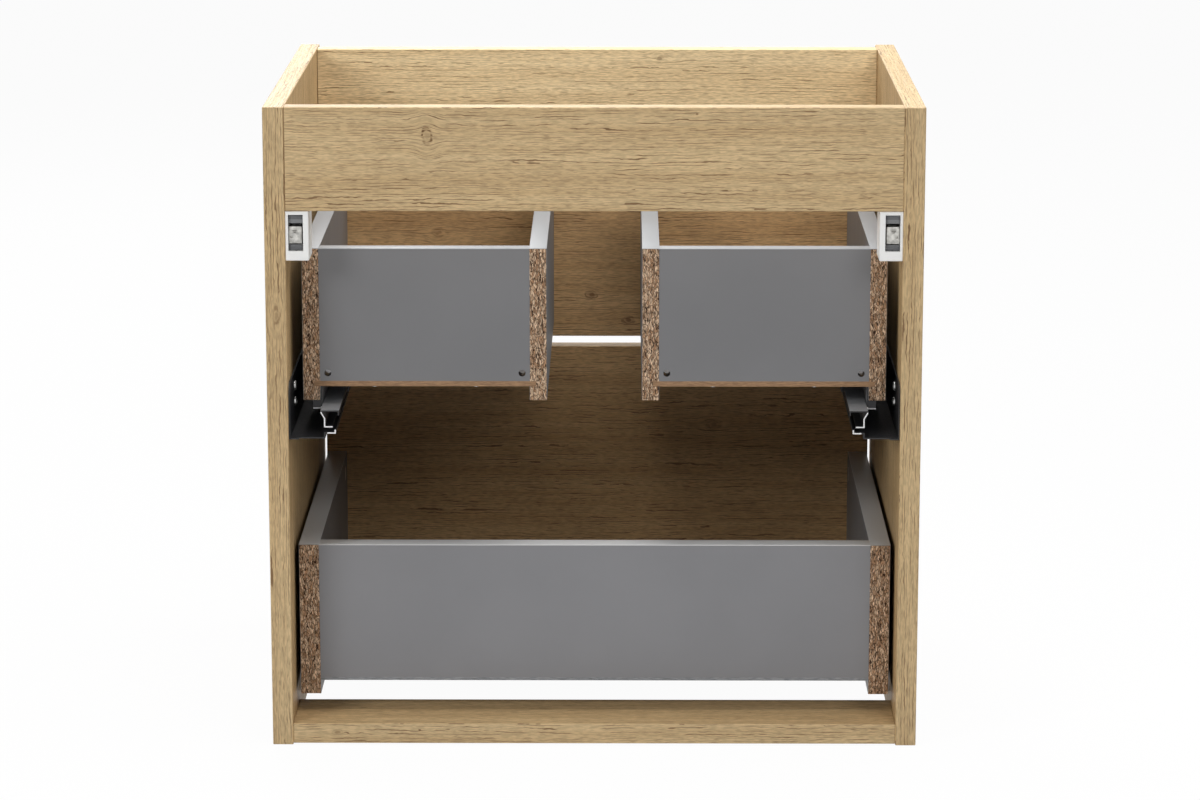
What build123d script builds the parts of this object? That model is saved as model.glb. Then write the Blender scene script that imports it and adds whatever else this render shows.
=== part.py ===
from build123d import *
from dataclasses import dataclass
import os

# Wall-hung vanity base cabinet with two drawers, open at the rear, the top and the underside.
# Lengths are millimetres. X runs from left to right as seen from the front, the fronts face -Y,
# the wall is at +Y and Z is up. The origin is under the middle of the cabinet.

# Carcass
cabinet_width = 600.0
cabinet_height = 600.0
cabinet_depth = 450.0
carcass_board = 19.0
top_rail_height = 95.0
bottom_rail_depth = 80.0
bottom_rail_lift = 1.5
front_rail_gap = 1.0
edge_break = 0.6

# Drawer fronts, set flush between the side panels
front_board = 19.0
front_side_gap = 3.0
front_top_reveal = 2.5
front_bottom_reveal = 2.0
upper_front_height = 294.5
grip_gap = 10.5

# Drawer boxes
box_hanger_gap = 3.0
bottom_recess = 13.0
groove_depth = 6.0
upper_board = 16.0
upper_side_gap = 11.0
upper_side_rise = 17.5
upper_side_height = 142.5
upper_bottom_board = 5.0
trap_gap = 88.0
lower_board = 19.0
lower_side_gap = 4.4
lower_side_rise = 35.5
lower_side_height = 144.5
lower_bottom_board = 3.0
hook_hole_diameter = 6.4
hook_hole_inset = 7.0
hook_hole_rise = 7.5

# Dowels, cam locks and screws
fit = 0.1
dowel_diameter = 8.0
dowel_length = 30.0
dowel_face_depth = 11.0
dowel_inset = 22.0
cam_diameter = 15.0
cam_depth = 12.0
cam_setback = 24.0
cam_inset = 18.0
driver_slot_length = 8.0
driver_slot_width = 1.4
driver_slot_depth = 1.2
bolt_diameter = 6.0
bolt_thread_diameter = 4.8
bolt_thread_length = 11.0
screw_diameter = 3.5
screw_head_diameter = 6.6
screw_head_height = 1.8
screw_grip = 11.0
bottom_screw_inset = 50.0
wall_screw_diameter = 4.8
wall_screw_length = 12.0
wall_screw_head_diameter = 9.0
wall_screw_head_height = 2.0
wall_screw_drop = 13.0
wall_screw_spacing = 15.0
wall_screw_inset = 54.0

# Runner sections
sheet = 1.2
wall_plate = 1.5
wall_angle_foot = 9.0
wall_corner_radius = 14.0
roller_diameter = 3.9
roller_pitch = 28.0
roll_gap = 0.15
guide_gap = 0.6
cage_thickness = 1.0
cage_window_gap = 0.3
cage_wall = 1.0
cage_end_margin = 10.0
drawer_rail_width = 20.8
drawer_rail_hook = 3.3
middle_rail_inset = 2.0
middle_rail_lip = 4.7
middle_web_inset = 5.0
middle_foot_width = 8.0
shelf_lip_height = 2.6
seat_flange = 7.0
spacer_length = 31.0
runner_front_gap = 3.0
drawer_rail_front_gap = 2.0

# Upper runners
upper_wall_plate_height = 52.3
upper_wall_screw_rows = 2
upper_tube_height = 12.3
upper_middle_height = 16.0
upper_middle_leg = 2.5
upper_middle_slant = 5.0
upper_shelf_riser = 4.6
upper_seat_drop = 7.6
upper_wall_setback = 6.0
upper_shelf_setback = 10.0
upper_middle_setback = 12.0
upper_middle_front_gap = 16.0
upper_flange_inset = 2.0
upper_tube_inset = 83.0
upper_travel_reserve = 30.0

# Lower runners
lower_wall_plate_height = 22.0
lower_wall_screw_rows = 1
lower_tube_height = 6.5
lower_middle_height = 6.8
lower_middle_leg = 1.6
lower_middle_slant = 2.2
lower_shelf_riser = 0.0
lower_seat_drop = 0.0
lower_wall_setback = 85.0
lower_shelf_setback = 131.0
lower_middle_setback = 131.0
lower_middle_front_gap = 0.0
lower_flange_inset = 89.0
lower_tube_inset = 89.0
lower_travel_reserve = 27.0

# Wall hangers
hanger_width = 21.5
hanger_height = 45.7
hanger_depth = 38.0
hanger_inset = 1.0
hanger_top_gap = 0.3
hanger_wall = 2.6
window_side_margin = 2.7
window_width = 13.6
window_top_margin = 3.4
window_bottom_margin = 8.8
peg_diameter = 10.0
peg_length = 11.0
peg_spacing = 22.0
carrier_gap = 0.3
carrier_plate = 3.0
carrier_lug = 3.0
carrier_lug_reach = 9.0
carrier_nut_width = 5.2
carrier_nut_length = 6.0
depth_travel_in = 4.0
depth_travel_out = 6.0
depth_screw_diameter = 3.5
claw_width = 12.0
claw_height = 16.0
claw_depth = 14.0
claw_bottom_gap = 6.2
claw_notch_width = 4.6
claw_notch_height = 9.0
claw_nose = 4.4
claw_nut_height = 9.0
claw_nut_width = 6.0
claw_mark_diameter = 2.6
claw_mark_depth = 1.5
height_screw_diameter = 4.0
adjuster_head_diameter = 5.6
adjuster_head_height = 3.4

# Planes and levels that the pieces share
half_width = cabinet_width / 2
inner_x = half_width - carcass_board
front_y = -cabinet_depth / 2
rear_y = cabinet_depth / 2
front_back_y = front_y + front_board
front_rail_y = front_back_y + front_rail_gap
box_rear_y = rear_y - hanger_inset - hanger_depth - box_hanger_gap
runner_front_y = front_back_y + runner_front_gap
top_rail_bottom = cabinet_height - top_rail_height
upper_front_top = cabinet_height - front_top_reveal
upper_front_bottom = upper_front_top - upper_front_height
lower_front_top = upper_front_bottom - grip_gap
UP = (0, 0, 1)
DOWN = (0, 0, -1)
FORWARD = (0, -1, 0)
BACKWARD = (0, 1, 0)
HANDS = (("left", -1), ("right", 1))


@dataclass
class CamJoint:
    """A cam lock in a board's face, and the bolt that it pulls out of the next board."""

    mouth: Vector
    face_out: Vector
    bolt_out: Vector
    board: float

    @property
    def bolt_start(self):
        """Where the bolt's axis crosses the lock's axis, in the middle of the board."""
        return self.mouth - self.face_out * (self.board / 2)

    @property
    def seam(self):
        """Where the bolt passes from one board to the other."""
        return self.bolt_start + self.bolt_out * cam_setback

    @property
    def plane(self):
        """Plane on the lock's face, with its X axis along the bolt."""
        return Plane(origin=self.mouth, x_dir=self.bolt_out, z_dir=self.face_out)


@dataclass
class RailEnd:
    """What holds one end of a rail to a side panel: a cam joint and dowels across the seam."""

    lock: CamJoint
    seams: list


@dataclass
class Compartment:
    """The space inside one drawer box, between the inner faces of its two sides."""

    name: str
    low_x: float
    high_x: float
    low_side: str
    high_side: str

    @property
    def faces(self):
        """Name, inner face and inward direction of each side."""
        return ((self.low_side, self.low_x, 1), (self.high_side, self.high_x, -1))

    def spans(self, x):
        """Whether a point lies between the two sides."""
        return self.low_x < x < self.high_x


@dataclass
class Drawer:
    """Sizes and levels of one drawer and of its pair of runners."""

    name: str
    board: float
    bottom_board: float
    front_bottom: float
    front_top: float
    side_bottom: float
    side_height: float
    lip_reach: float
    compartments: list
    travel_reserve: float
    wall_plate_height: float
    wall_screw_rows: int
    tube_height: float
    middle_height: float
    middle_leg: float
    middle_slant: float
    shelf_riser: float
    seat_drop: float
    wall_rear: float
    shelf_rear: float
    middle_rear: float
    middle_front: float
    flange_rear: float
    tube_rear: float

    @property
    def side_top(self):
        return self.side_bottom + self.side_height

    @property
    def seat(self):
        """Underside of the bottom panel, where the drawer rails carry it."""
        return self.side_bottom + bottom_recess

    @property
    def floor(self):
        return self.seat + self.bottom_board

    @property
    def tube_bottom(self):
        return self.seat - self.tube_height

    @property
    def middle_top(self):
        return self.tube_bottom - roller_diameter - 2 * roll_gap

    @property
    def middle_bottom(self):
        return self.middle_top - self.middle_height

    @property
    def shelf_top(self):
        return self.middle_bottom - roller_diameter - 2 * roll_gap

    @property
    def foot_bottom(self):
        return self.shelf_top - sheet - self.shelf_riser

    @property
    def flange_top(self):
        return self.side_bottom - self.seat_drop

    @property
    def middle_length(self):
        return self.middle_rear - self.middle_front

    @property
    def travel(self):
        """How far the drawer comes out, a little less than the middle rails' length."""
        return self.middle_length - self.travel_reserve

    @property
    def back_y(self):
        """Middle of the back panel's thickness."""
        return box_rear_y - self.board / 2

    @property
    def dowel_heights(self):
        return (self.floor + dowel_inset, self.side_top - dowel_inset)

    @property
    def cam_joints(self):
        """Cam locks that pull the front onto the front ends of the sides."""
        heights = (self.floor + cam_inset, self.side_top - cam_inset)
        return [
            CamJoint(
                mouth=Vector(face_x, front_back_y + cam_setback, height),
                face_out=Vector(inward, 0, 0),
                bolt_out=Vector(FORWARD),
                board=self.board,
            )
            for compartment in self.compartments
            for _, face_x, inward in compartment.faces
            for height in heights
        ]

    @property
    def back_dowels(self):
        """Seam point and direction into the back panel of each dowel."""
        return [
            ((face_x, self.back_y, height), (inward, 0, 0))
            for compartment in self.compartments
            for _, face_x, inward in compartment.faces
            for height in self.dowel_heights
        ]

    @property
    def bottom_screw_points(self):
        """Points under the bottom panels where they are screwed to the back panels."""
        return [
            (x, self.back_y, self.seat)
            for compartment in self.compartments
            for x in (compartment.low_x + bottom_screw_inset, compartment.high_x - bottom_screw_inset)
        ]

    @property
    def spacer_centres(self):
        """Places along the runner where the drawer side is screwed to the drawer rail."""
        front = front_back_y + drawer_rail_front_gap + spacer_length / 2
        rear = self.flange_rear - spacer_length / 2
        return (front, (front + rear) / 2, rear)

    @property
    def seat_screw_points(self):
        """Points under the drawer rails' flanges where their screws start."""
        reach = self.lip_reach - seat_flange / 2
        height = self.flange_top - sheet
        return [(across(side, reach), y, height) for _, side in HANDS for y in self.spacer_centres]

    def wall_screw_points(self, side):
        """Points on the side panel's inner face under the wall plate's screws."""
        top = self.foot_bottom + self.wall_plate_height - wall_screw_drop
        heights = [top - row * wall_screw_spacing for row in range(self.wall_screw_rows)]
        front = runner_front_y + wall_screw_inset
        rear = self.wall_rear - wall_screw_inset
        places = (front, (front + rear) / 2, rear)
        return [(across(side, 0), y, height) for y in places for height in heights]


def across(side, reach):
    """X of a point that lies the given reach inside the inner face of a side panel."""
    return side * (inner_x - reach)


def block(x, y, z, mode=Mode.ADD):
    """Box between three pairs of limits, each pair in either order."""
    limits = [sorted(pair) for pair in (x, y, z)]
    with Locations(tuple((low + high) / 2 for low, high in limits)):
        Box(*(high - low for low, high in limits), mode=mode)


def rods(points, direction, diameter, length, mode=Mode.ADD):
    """Round rods that start at the points and run along the direction."""
    with Locations(*(Plane(origin=point, z_dir=direction) for point in points)):
        Cylinder(diameter / 2, length, align=(Align.CENTER, Align.CENTER, Align.MIN), mode=mode)


def drill(points, outward, diameter, depth):
    """Round holes that open at the points and leave the material along the outward direction."""
    with Locations(*(Plane(origin=point, z_dir=outward) for point in points)):
        Hole(diameter / 2, depth)


def section_plane(y):
    """Upright plane across the cabinet, whose normal points to the front."""
    return Plane(origin=(0, y, 0), x_dir=(1, 0, 0), z_dir=FORWARD)


def strips(side, limits):
    """Rectangles of sheet in a runner's section, each given by its reach and its height limits."""
    for reaches, heights in limits:
        near, far = (across(side, reach) for reach in reaches)
        with Locations(((near + far) / 2, sum(heights) / 2)):
            Rectangle(abs(far - near), heights[1] - heights[0])


def save(piece, name):
    """Name a finished piece and write it to its own file."""
    piece.label = name
    export_step(piece, f"parts/{name}.step")


def cut_cam_pockets(joints):
    """Pocket and bolt bore of each cam lock, in the board that holds the lock."""
    for joint in joints:
        drill([joint.mouth], joint.face_out, cam_diameter, cam_depth + fit)
        drill([joint.seam], joint.bolt_out, bolt_diameter + 2 * fit, cam_setback)


def cut_bolt_holes(joints):
    """Hole of each cam bolt, in the board that the lock pulls."""
    for joint in joints:
        drill([joint.seam], -joint.bolt_out, bolt_thread_diameter + 2 * fit, bolt_thread_length + fit)


def save_cam_fittings(prefix, joints):
    """Cam locks and cam bolts of one group of boards, each kind in its own node."""
    with BuildPart() as locks:
        with Locations(*(joint.plane for joint in joints)):
            Cylinder(cam_diameter / 2 - fit, cam_depth, align=(Align.CENTER, Align.CENTER, Align.MAX))
            Box(driver_slot_length, driver_slot_width, 2 * driver_slot_depth, mode=Mode.SUBTRACT)
        for joint in joints:
            rods([joint.bolt_start], joint.bolt_out, bolt_diameter + 2 * fit, cam_diameter, Mode.SUBTRACT)
    save(locks.part, f"{prefix}_cam_locks")

    with BuildPart() as bolts:
        for joint in joints:
            start = joint.bolt_start + joint.bolt_out * fit
            rods([start], joint.bolt_out, bolt_diameter, cam_setback - fit)
            rods([joint.seam], joint.bolt_out, bolt_thread_diameter, bolt_thread_length)
    save(bolts.part, f"{prefix}_cam_bolts")


def save_dowels(name, seams):
    """Dowels that cross the given seams, each seam a point and a direction into the end-drilled board."""
    with BuildPart() as dowels:
        for point, direction in seams:
            start = Vector(point) - Vector(direction) * (dowel_face_depth - fit)
            rods([start], direction, dowel_diameter - 2 * fit, dowel_length - 2 * fit)
    save(dowels.part, name)


def cut_face_dowel_holes(seams):
    """Dowel holes in the face of the board that the dowels stand in."""
    for point, direction in seams:
        drill([point], direction, dowel_diameter, dowel_face_depth)


def cut_end_dowel_holes(seams):
    """Dowel holes in the end of the board that the dowels hold."""
    for point, direction in seams:
        drill([point], -Vector(direction), dowel_diameter, dowel_length - dowel_face_depth)


def upright_end(side, low_y):
    """What holds one end of an upright top rail whose front face is at the given depth."""
    mouth = Vector(side * (inner_x - cam_setback), low_y, cabinet_height - top_rail_height / 2)
    heights = (top_rail_bottom + dowel_inset, cabinet_height - dowel_inset)
    middle_y = low_y + carcass_board / 2
    seams = [((side * inner_x, middle_y, height), (-side, 0, 0)) for height in heights]
    return RailEnd(CamJoint(mouth, Vector(FORWARD), Vector(side, 0, 0), carcass_board), seams)


def flat_end(side):
    """What holds one end of the flat bottom rail."""
    mouth = Vector(side * (inner_x - cam_setback), rear_y - bottom_rail_depth / 2, bottom_rail_lift)
    depths = (rear_y - bottom_rail_depth + dowel_inset, rear_y - dowel_inset)
    middle_z = bottom_rail_lift + carcass_board / 2
    seams = [((side * inner_x, depth, middle_z), (-side, 0, 0)) for depth in depths]
    return RailEnd(CamJoint(mouth, Vector(DOWN), Vector(side, 0, 0), carcass_board), seams)


def rail_ends(side):
    """Ends of the three rails at one side panel, by the rail's name."""
    return {
        "top_rear_rail": upright_end(side, rear_y - carcass_board),
        "top_front_rail": upright_end(side, front_rail_y),
        "bottom_rear_rail": flat_end(side),
    }


def peg_points(side):
    """Middle of each hanger peg on the side panel's inner face."""
    y = rear_y - hanger_inset - hanger_depth / 2
    middle = top_rail_bottom - hanger_top_gap - hanger_height / 2
    return [(across(side, 0), y, middle + step * peg_spacing / 2) for step in (-1, 1)]


def save_side_panel(hand, side, drawers):
    """Side panel, drilled for the rails, the wall hanger and the runners."""
    with BuildPart() as panel:
        block((side * inner_x, side * half_width), (front_y, rear_y), (0, cabinet_height))
        chamfer(panel.edges(), edge_break)
        for end in rail_ends(side).values():
            cut_bolt_holes([end.lock])
            cut_face_dowel_holes(end.seams)
        drill(peg_points(side), (-side, 0, 0), peg_diameter + 2 * fit, peg_length + fit)
        for drawer in drawers:
            points = drawer.wall_screw_points(side)
            drill(points, (-side, 0, 0), wall_screw_diameter + 2 * fit, wall_screw_length)
    save(panel.part, f"{hand}_side_panel")


def save_rails():
    """Upright top rails and flat bottom rail, with the fittings that hold them between the sides."""
    upright = (top_rail_bottom, cabinet_height)
    flat = (bottom_rail_lift, bottom_rail_lift + carcass_board)
    spans = {
        "top_rear_rail": ((rear_y - carcass_board, rear_y), upright),
        "top_front_rail": ((front_rail_y, front_rail_y + carcass_board), upright),
        "bottom_rear_rail": ((rear_y - bottom_rail_depth, rear_y), flat),
    }
    ends = {name: [rail_ends(side)[name] for _, side in HANDS] for name in spans}
    for name, (depths, heights) in spans.items():
        with BuildPart() as rail:
            block((-inner_x, inner_x), depths, heights)
            chamfer(rail.edges(), edge_break)
            for end in ends[name]:
                cut_cam_pockets([end.lock])
                cut_end_dowel_holes(end.seams)
        save(rail.part, name)

    every_end = [end for pair in ends.values() for end in pair]
    save_cam_fittings("carcass", [end.lock for end in every_end])
    save_dowels("carcass_dowels", [seam for end in every_end for seam in end.seams])


def save_front(drawer):
    """Drawer front, with grooves for the bottom panels and holes for the cam bolts."""
    reach = inner_x - front_side_gap
    with BuildPart() as front:
        block((-reach, reach), (front_y, front_back_y), (drawer.front_bottom, drawer.front_top))
        chamfer(front.edges(), edge_break)
        cut_bolt_holes(drawer.cam_joints)
        for compartment in drawer.compartments:
            groove_x = (compartment.low_x - groove_depth, compartment.high_x + groove_depth)
            groove_z = (drawer.seat - fit, drawer.floor + fit)
            block(groove_x, (front_back_y - groove_depth, front_back_y), groove_z, Mode.SUBTRACT)
    save(front.part, f"{drawer.name}_front")


def save_box_side(drawer, name, face_x, inward):
    """Drawer side with its bottom groove, cam pockets and dowel holes; its rear end is a raw cut."""
    outer_x = face_x - inward * drawer.board
    on_runner = abs(outer_x) > abs(face_x)
    joints = [joint for joint in drawer.cam_joints if joint.mouth.X == face_x]
    seams = [seam for seam in drawer.back_dowels if seam[0][0] == face_x]
    with BuildPart() as side:
        block((face_x, outer_x), (front_back_y, box_rear_y), (drawer.side_bottom, drawer.side_top))
        chamfer(side.edges().filter_by(Axis.Y).group_by(Axis.Z)[-1], edge_break)
        groove_x = (face_x, face_x - inward * groove_depth)
        block(groove_x, (front_back_y, box_rear_y), (drawer.seat - fit, drawer.floor + fit), Mode.SUBTRACT)
        cut_cam_pockets(joints)
        cut_face_dowel_holes(seams)
        if on_runner:
            points = [(x, y, drawer.side_bottom) for x, y, _ in drawer.seat_screw_points if x * outer_x > 0]
            drill(points, DOWN, screw_diameter + 2 * fit, screw_grip + fit)
    save(side.part, name)


def save_box_back(drawer, compartment):
    """Drawer back between the sides, standing on the bottom panel."""
    with BuildPart() as back:
        block(
            (compartment.low_x, compartment.high_x),
            (box_rear_y - drawer.board, box_rear_y),
            (drawer.floor, drawer.side_top),
        )
        chamfer(back.edges().filter_by(Axis.X).group_by(Axis.Z)[-1], edge_break)
        cut_end_dowel_holes(
            [seam for seam in drawer.back_dowels if seam[0][0] in (compartment.low_x, compartment.high_x)]
        )
        screws = [(x, y, drawer.floor) for x, y, _ in drawer.bottom_screw_points if compartment.spans(x)]
        drill(screws, DOWN, screw_diameter + 2 * fit, screw_grip + fit)
        if len(drawer.compartments) > 1:
            hole_xs = (compartment.low_x + hook_hole_inset, compartment.high_x - hook_hole_inset)
            holes = [(x, box_rear_y, drawer.floor + hook_hole_rise) for x in hole_xs]
            drill(holes, BACKWARD, hook_hole_diameter, drawer.board)
    save(back.part, f"{compartment.name}_back")


def save_box_bottom(drawer, compartment):
    """Bottom panel in the grooves of the sides and the front, under the back."""
    tongue = groove_depth - fit
    with BuildPart() as bottom:
        block(
            (compartment.low_x - tongue, compartment.high_x + tongue),
            (front_back_y - tongue, box_rear_y),
            (drawer.seat, drawer.floor),
        )
        screws = [point for point in drawer.bottom_screw_points if compartment.spans(point[0])]
        drill(screws, DOWN, screw_diameter + 2 * fit, drawer.bottom_board)
    save(bottom.part, f"{compartment.name}_bottom")


def save_box_screws(drawer):
    """Screws under the bottom panels and under the drawer rails."""
    seat_length = sheet + drawer.seat_drop + screw_grip
    bottom_length = drawer.bottom_board + screw_grip
    with BuildPart() as screws:
        rods(drawer.bottom_screw_points, DOWN, screw_head_diameter, screw_head_height)
        rods(drawer.bottom_screw_points, UP, screw_diameter, bottom_length)
        rods(drawer.seat_screw_points, DOWN, screw_head_diameter, screw_head_height)
        rods(drawer.seat_screw_points, UP, screw_diameter, seat_length)
    save(screws.part, f"{drawer.name}_drawer_screws")


def save_spacers(drawer):
    """Blocks between the drawer rails' flanges and the drawer sides' lower edges."""
    with BuildPart() as spacers:
        for _, side in HANDS:
            spacer_x = [across(side, drawer.lip_reach - seat_flange), across(side, drawer.lip_reach)]
            for y in drawer.spacer_centres:
                spacer_y = (y - spacer_length / 2, y + spacer_length / 2)
                block(spacer_x, spacer_y, (drawer.flange_top, drawer.side_bottom))
        points = [(x, y, drawer.flange_top) for x, y, _ in drawer.seat_screw_points]
        drill(points, DOWN, screw_diameter + 2 * fit, drawer.seat_drop)
    save(spacers.part, f"{drawer.name}_runner_spacers")


def save_cabinet_rail(drawer, hand, side):
    """Fixed rail: a plate on the side panel, a foot, and a shelf that carries the lower rollers."""
    web = drawer.lip_reach + middle_web_inset
    shelf_end = web + sheet + middle_foot_width + guide_gap + sheet
    shelf_low = drawer.shelf_top - sheet
    foot = (drawer.foot_bottom, drawer.foot_bottom + sheet)
    wall_top = drawer.foot_bottom + drawer.wall_plate_height
    with BuildPart() as rail:
        with BuildSketch(section_plane(drawer.wall_rear)):
            strips(side, [((0, wall_plate), (drawer.foot_bottom, wall_top)), ((0, wall_angle_foot), foot)])
        extrude(amount=drawer.wall_rear - runner_front_y)
        rear_corner = rail.edges().filter_by(Axis.X).group_by(Axis.Z)[-1].sort_by(Axis.Y)[-1]
        fillet(rear_corner, min(wall_corner_radius, drawer.wall_plate_height / 2))
        with BuildSketch(section_plane(drawer.shelf_rear)):
            strips(
                side,
                [
                    ((0, web + sheet), foot),
                    ((web, web + sheet), (drawer.foot_bottom, drawer.shelf_top)),
                    ((web, shelf_end), (shelf_low, drawer.shelf_top)),
                    ((shelf_end - sheet, shelf_end), (shelf_low, drawer.shelf_top + shelf_lip_height)),
                ],
            )
        extrude(amount=drawer.shelf_rear - runner_front_y)
        drill(drawer.wall_screw_points(side), (-side, 0, 0), wall_screw_diameter + 2 * fit, 2 * wall_plate)
    save(rail.part, f"{drawer.name}_{hand}_cabinet_rail")


def save_middle_rail(drawer, hand, side):
    """Middle rail: a top plate that carries the upper rollers, over a stepped web and a foot."""
    outer = drawer.lip_reach + middle_rail_inset
    inner = drawer.lip_reach + drawer_rail_width - sheet - guide_gap
    web = drawer.lip_reach + middle_web_inset
    foot_end = web + middle_foot_width
    top = drawer.middle_top
    leg = top - drawer.middle_leg
    step = leg - drawer.middle_slant
    low = drawer.middle_bottom
    outline = [
        (outer, top),
        (inner, top),
        (inner, top - middle_rail_lip),
        (inner - sheet, top - middle_rail_lip),
        (inner - sheet, top - sheet),
        (outer + sheet, top - sheet),
        (outer + sheet, leg),
        (web + sheet, step),
        (web + sheet, low + sheet),
        (foot_end, low + sheet),
        (foot_end, low),
        (web, low),
        (web, step),
        (outer, leg),
    ]
    with BuildPart() as rail:
        with BuildSketch(section_plane(drawer.middle_rear)):
            with BuildLine():
                Polyline([(across(side, reach), height) for reach, height in outline], close=True)
            make_face()
        extrude(amount=drawer.middle_length)
    save(rail.part, f"{drawer.name}_{hand}_middle_rail")


def save_drawer_rail(drawer, hand, side):
    """Drawer rail: a tube under the bottom panel, a hook under the middle rail and a screwed flange."""
    lip = drawer.lip_reach
    far = lip + drawer_rail_width
    flange = (drawer.flange_top - sheet, drawer.flange_top)
    hook_top = drawer.middle_top - middle_rail_lip - 2 * roll_gap
    rail_front_y = front_back_y + drawer_rail_front_gap
    with BuildPart() as rail:
        with BuildSketch(section_plane(drawer.flange_rear)):
            strips(
                side,
                [
                    ((lip, lip + sheet), (flange[0], drawer.seat)),
                    ((lip - seat_flange, lip + sheet), flange),
                ],
            )
        extrude(amount=drawer.flange_rear - rail_front_y)
        with BuildSketch(section_plane(drawer.tube_rear)):
            strips(
                side,
                [
                    ((lip, far), (drawer.seat - sheet, drawer.seat)),
                    ((lip, far), (drawer.tube_bottom, drawer.tube_bottom + sheet)),
                    ((far - sheet, far), (hook_top - sheet, drawer.seat)),
                    ((far - drawer_rail_hook, far), (hook_top - sheet, hook_top)),
                ],
            )
        extrude(amount=drawer.tube_rear - rail_front_y)
        points = [point for point in drawer.seat_screw_points if point[0] * side > 0]
        drill(points, DOWN, screw_diameter + 2 * fit, 2 * sheet)
    save(rail.part, f"{drawer.name}_{hand}_drawer_rail")


def save_cages(name, low_reach, high_reach, height, overlap, rest_shift):
    """Pair of roller cages that keep within the overlap of their two rails when the drawer is fully out."""
    length = overlap[1] - overlap[0] - 2 * cage_end_margin
    centre = sum(overlap) / 2 + rest_shift
    count = max(2, int(length // roller_pitch))
    roller_ys = [centre + (index - (count - 1) / 2) * roller_pitch for index in range(count)]
    ends = (centre - length / 2, centre + length / 2)
    half_window = roller_diameter / 2 + cage_window_gap
    with BuildPart() as cages:
        for _, side in HANDS:
            plate_x = [across(side, low_reach), across(side, high_reach)]
            window_x = [across(side, low_reach + cage_wall), across(side, high_reach - cage_wall)]
            block(plate_x, ends, (height - cage_thickness / 2, height + cage_thickness / 2))
            for y in roller_ys:
                window_z = (height - cage_thickness, height + cage_thickness)
                block(window_x, (y - half_window, y + half_window), window_z, Mode.SUBTRACT)
            roller_start = across(side, low_reach + cage_wall + cage_window_gap)
            roller_length = high_reach - low_reach - 2 * (cage_wall + cage_window_gap)
            points = [(roller_start, y, height) for y in roller_ys]
            rods(points, (-side, 0, 0), roller_diameter, roller_length)
    save(cages.part, name)


def save_runners(drawer):
    """Rails and roller cages of both runners of a drawer."""
    for hand, side in HANDS:
        save_cabinet_rail(drawer, hand, side)
        save_middle_rail(drawer, hand, side)
        save_drawer_rail(drawer, hand, side)

    # The middle rails move half as far as the drawer. The lower cages roll between the cabinet
    # rails and the middle rails, at a quarter of its travel, and the upper cages between the
    # middle rails and the drawer rails, at three quarters.
    half = drawer.travel / 2
    web = drawer.lip_reach + middle_web_inset + sheet
    lower_overlap = (
        max(runner_front_y, drawer.middle_front - half),
        min(drawer.shelf_rear, drawer.middle_rear - half),
    )
    save_cages(
        f"{drawer.name}_lower_cages",
        web + guide_gap,
        web + middle_foot_width,
        drawer.middle_bottom - roll_gap - roller_diameter / 2,
        lower_overlap,
        drawer.travel / 4,
    )
    upper_overlap = (
        max(drawer.middle_front - half, front_back_y + drawer_rail_front_gap - drawer.travel),
        min(drawer.middle_rear - half, drawer.tube_rear - drawer.travel),
    )
    save_cages(
        f"{drawer.name}_upper_cages",
        drawer.lip_reach + sheet + 2 * guide_gap,
        drawer.lip_reach + drawer_rail_width - sheet - 2 * guide_gap,
        drawer.middle_top + roll_gap + roller_diameter / 2,
        upper_overlap,
        drawer.travel * 3 / 4,
    )


def save_wall_screws(drawers):
    """Screws that hold the cabinet rails' wall plates on the side panels."""
    with BuildPart() as screws:
        for drawer in drawers:
            for _, side in HANDS:
                panel_points = drawer.wall_screw_points(side)
                plate_points = [(across(side, wall_plate), y, height) for _, y, height in panel_points]
                shank = wall_plate + wall_screw_length - fit
                rods(plate_points, (side, 0, 0), wall_screw_diameter, shank)
                rods(plate_points, (-side, 0, 0), wall_screw_head_diameter, wall_screw_head_height)
    save(screws.part, "runner_screws")


def save_drawer(drawer):
    """All pieces that ride with one drawer, and its runners."""
    save_front(drawer)
    for compartment in drawer.compartments:
        for side_name, face_x, inward in compartment.faces:
            save_box_side(drawer, side_name, face_x, inward)
        save_box_back(drawer, compartment)
        save_box_bottom(drawer, compartment)
    save_cam_fittings(f"{drawer.name}_drawer", drawer.cam_joints)
    save_dowels(f"{drawer.name}_drawer_dowels", drawer.back_dowels)
    save_box_screws(drawer)
    if drawer.seat_drop > 0:
        save_spacers(drawer)
    save_runners(drawer)


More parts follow.
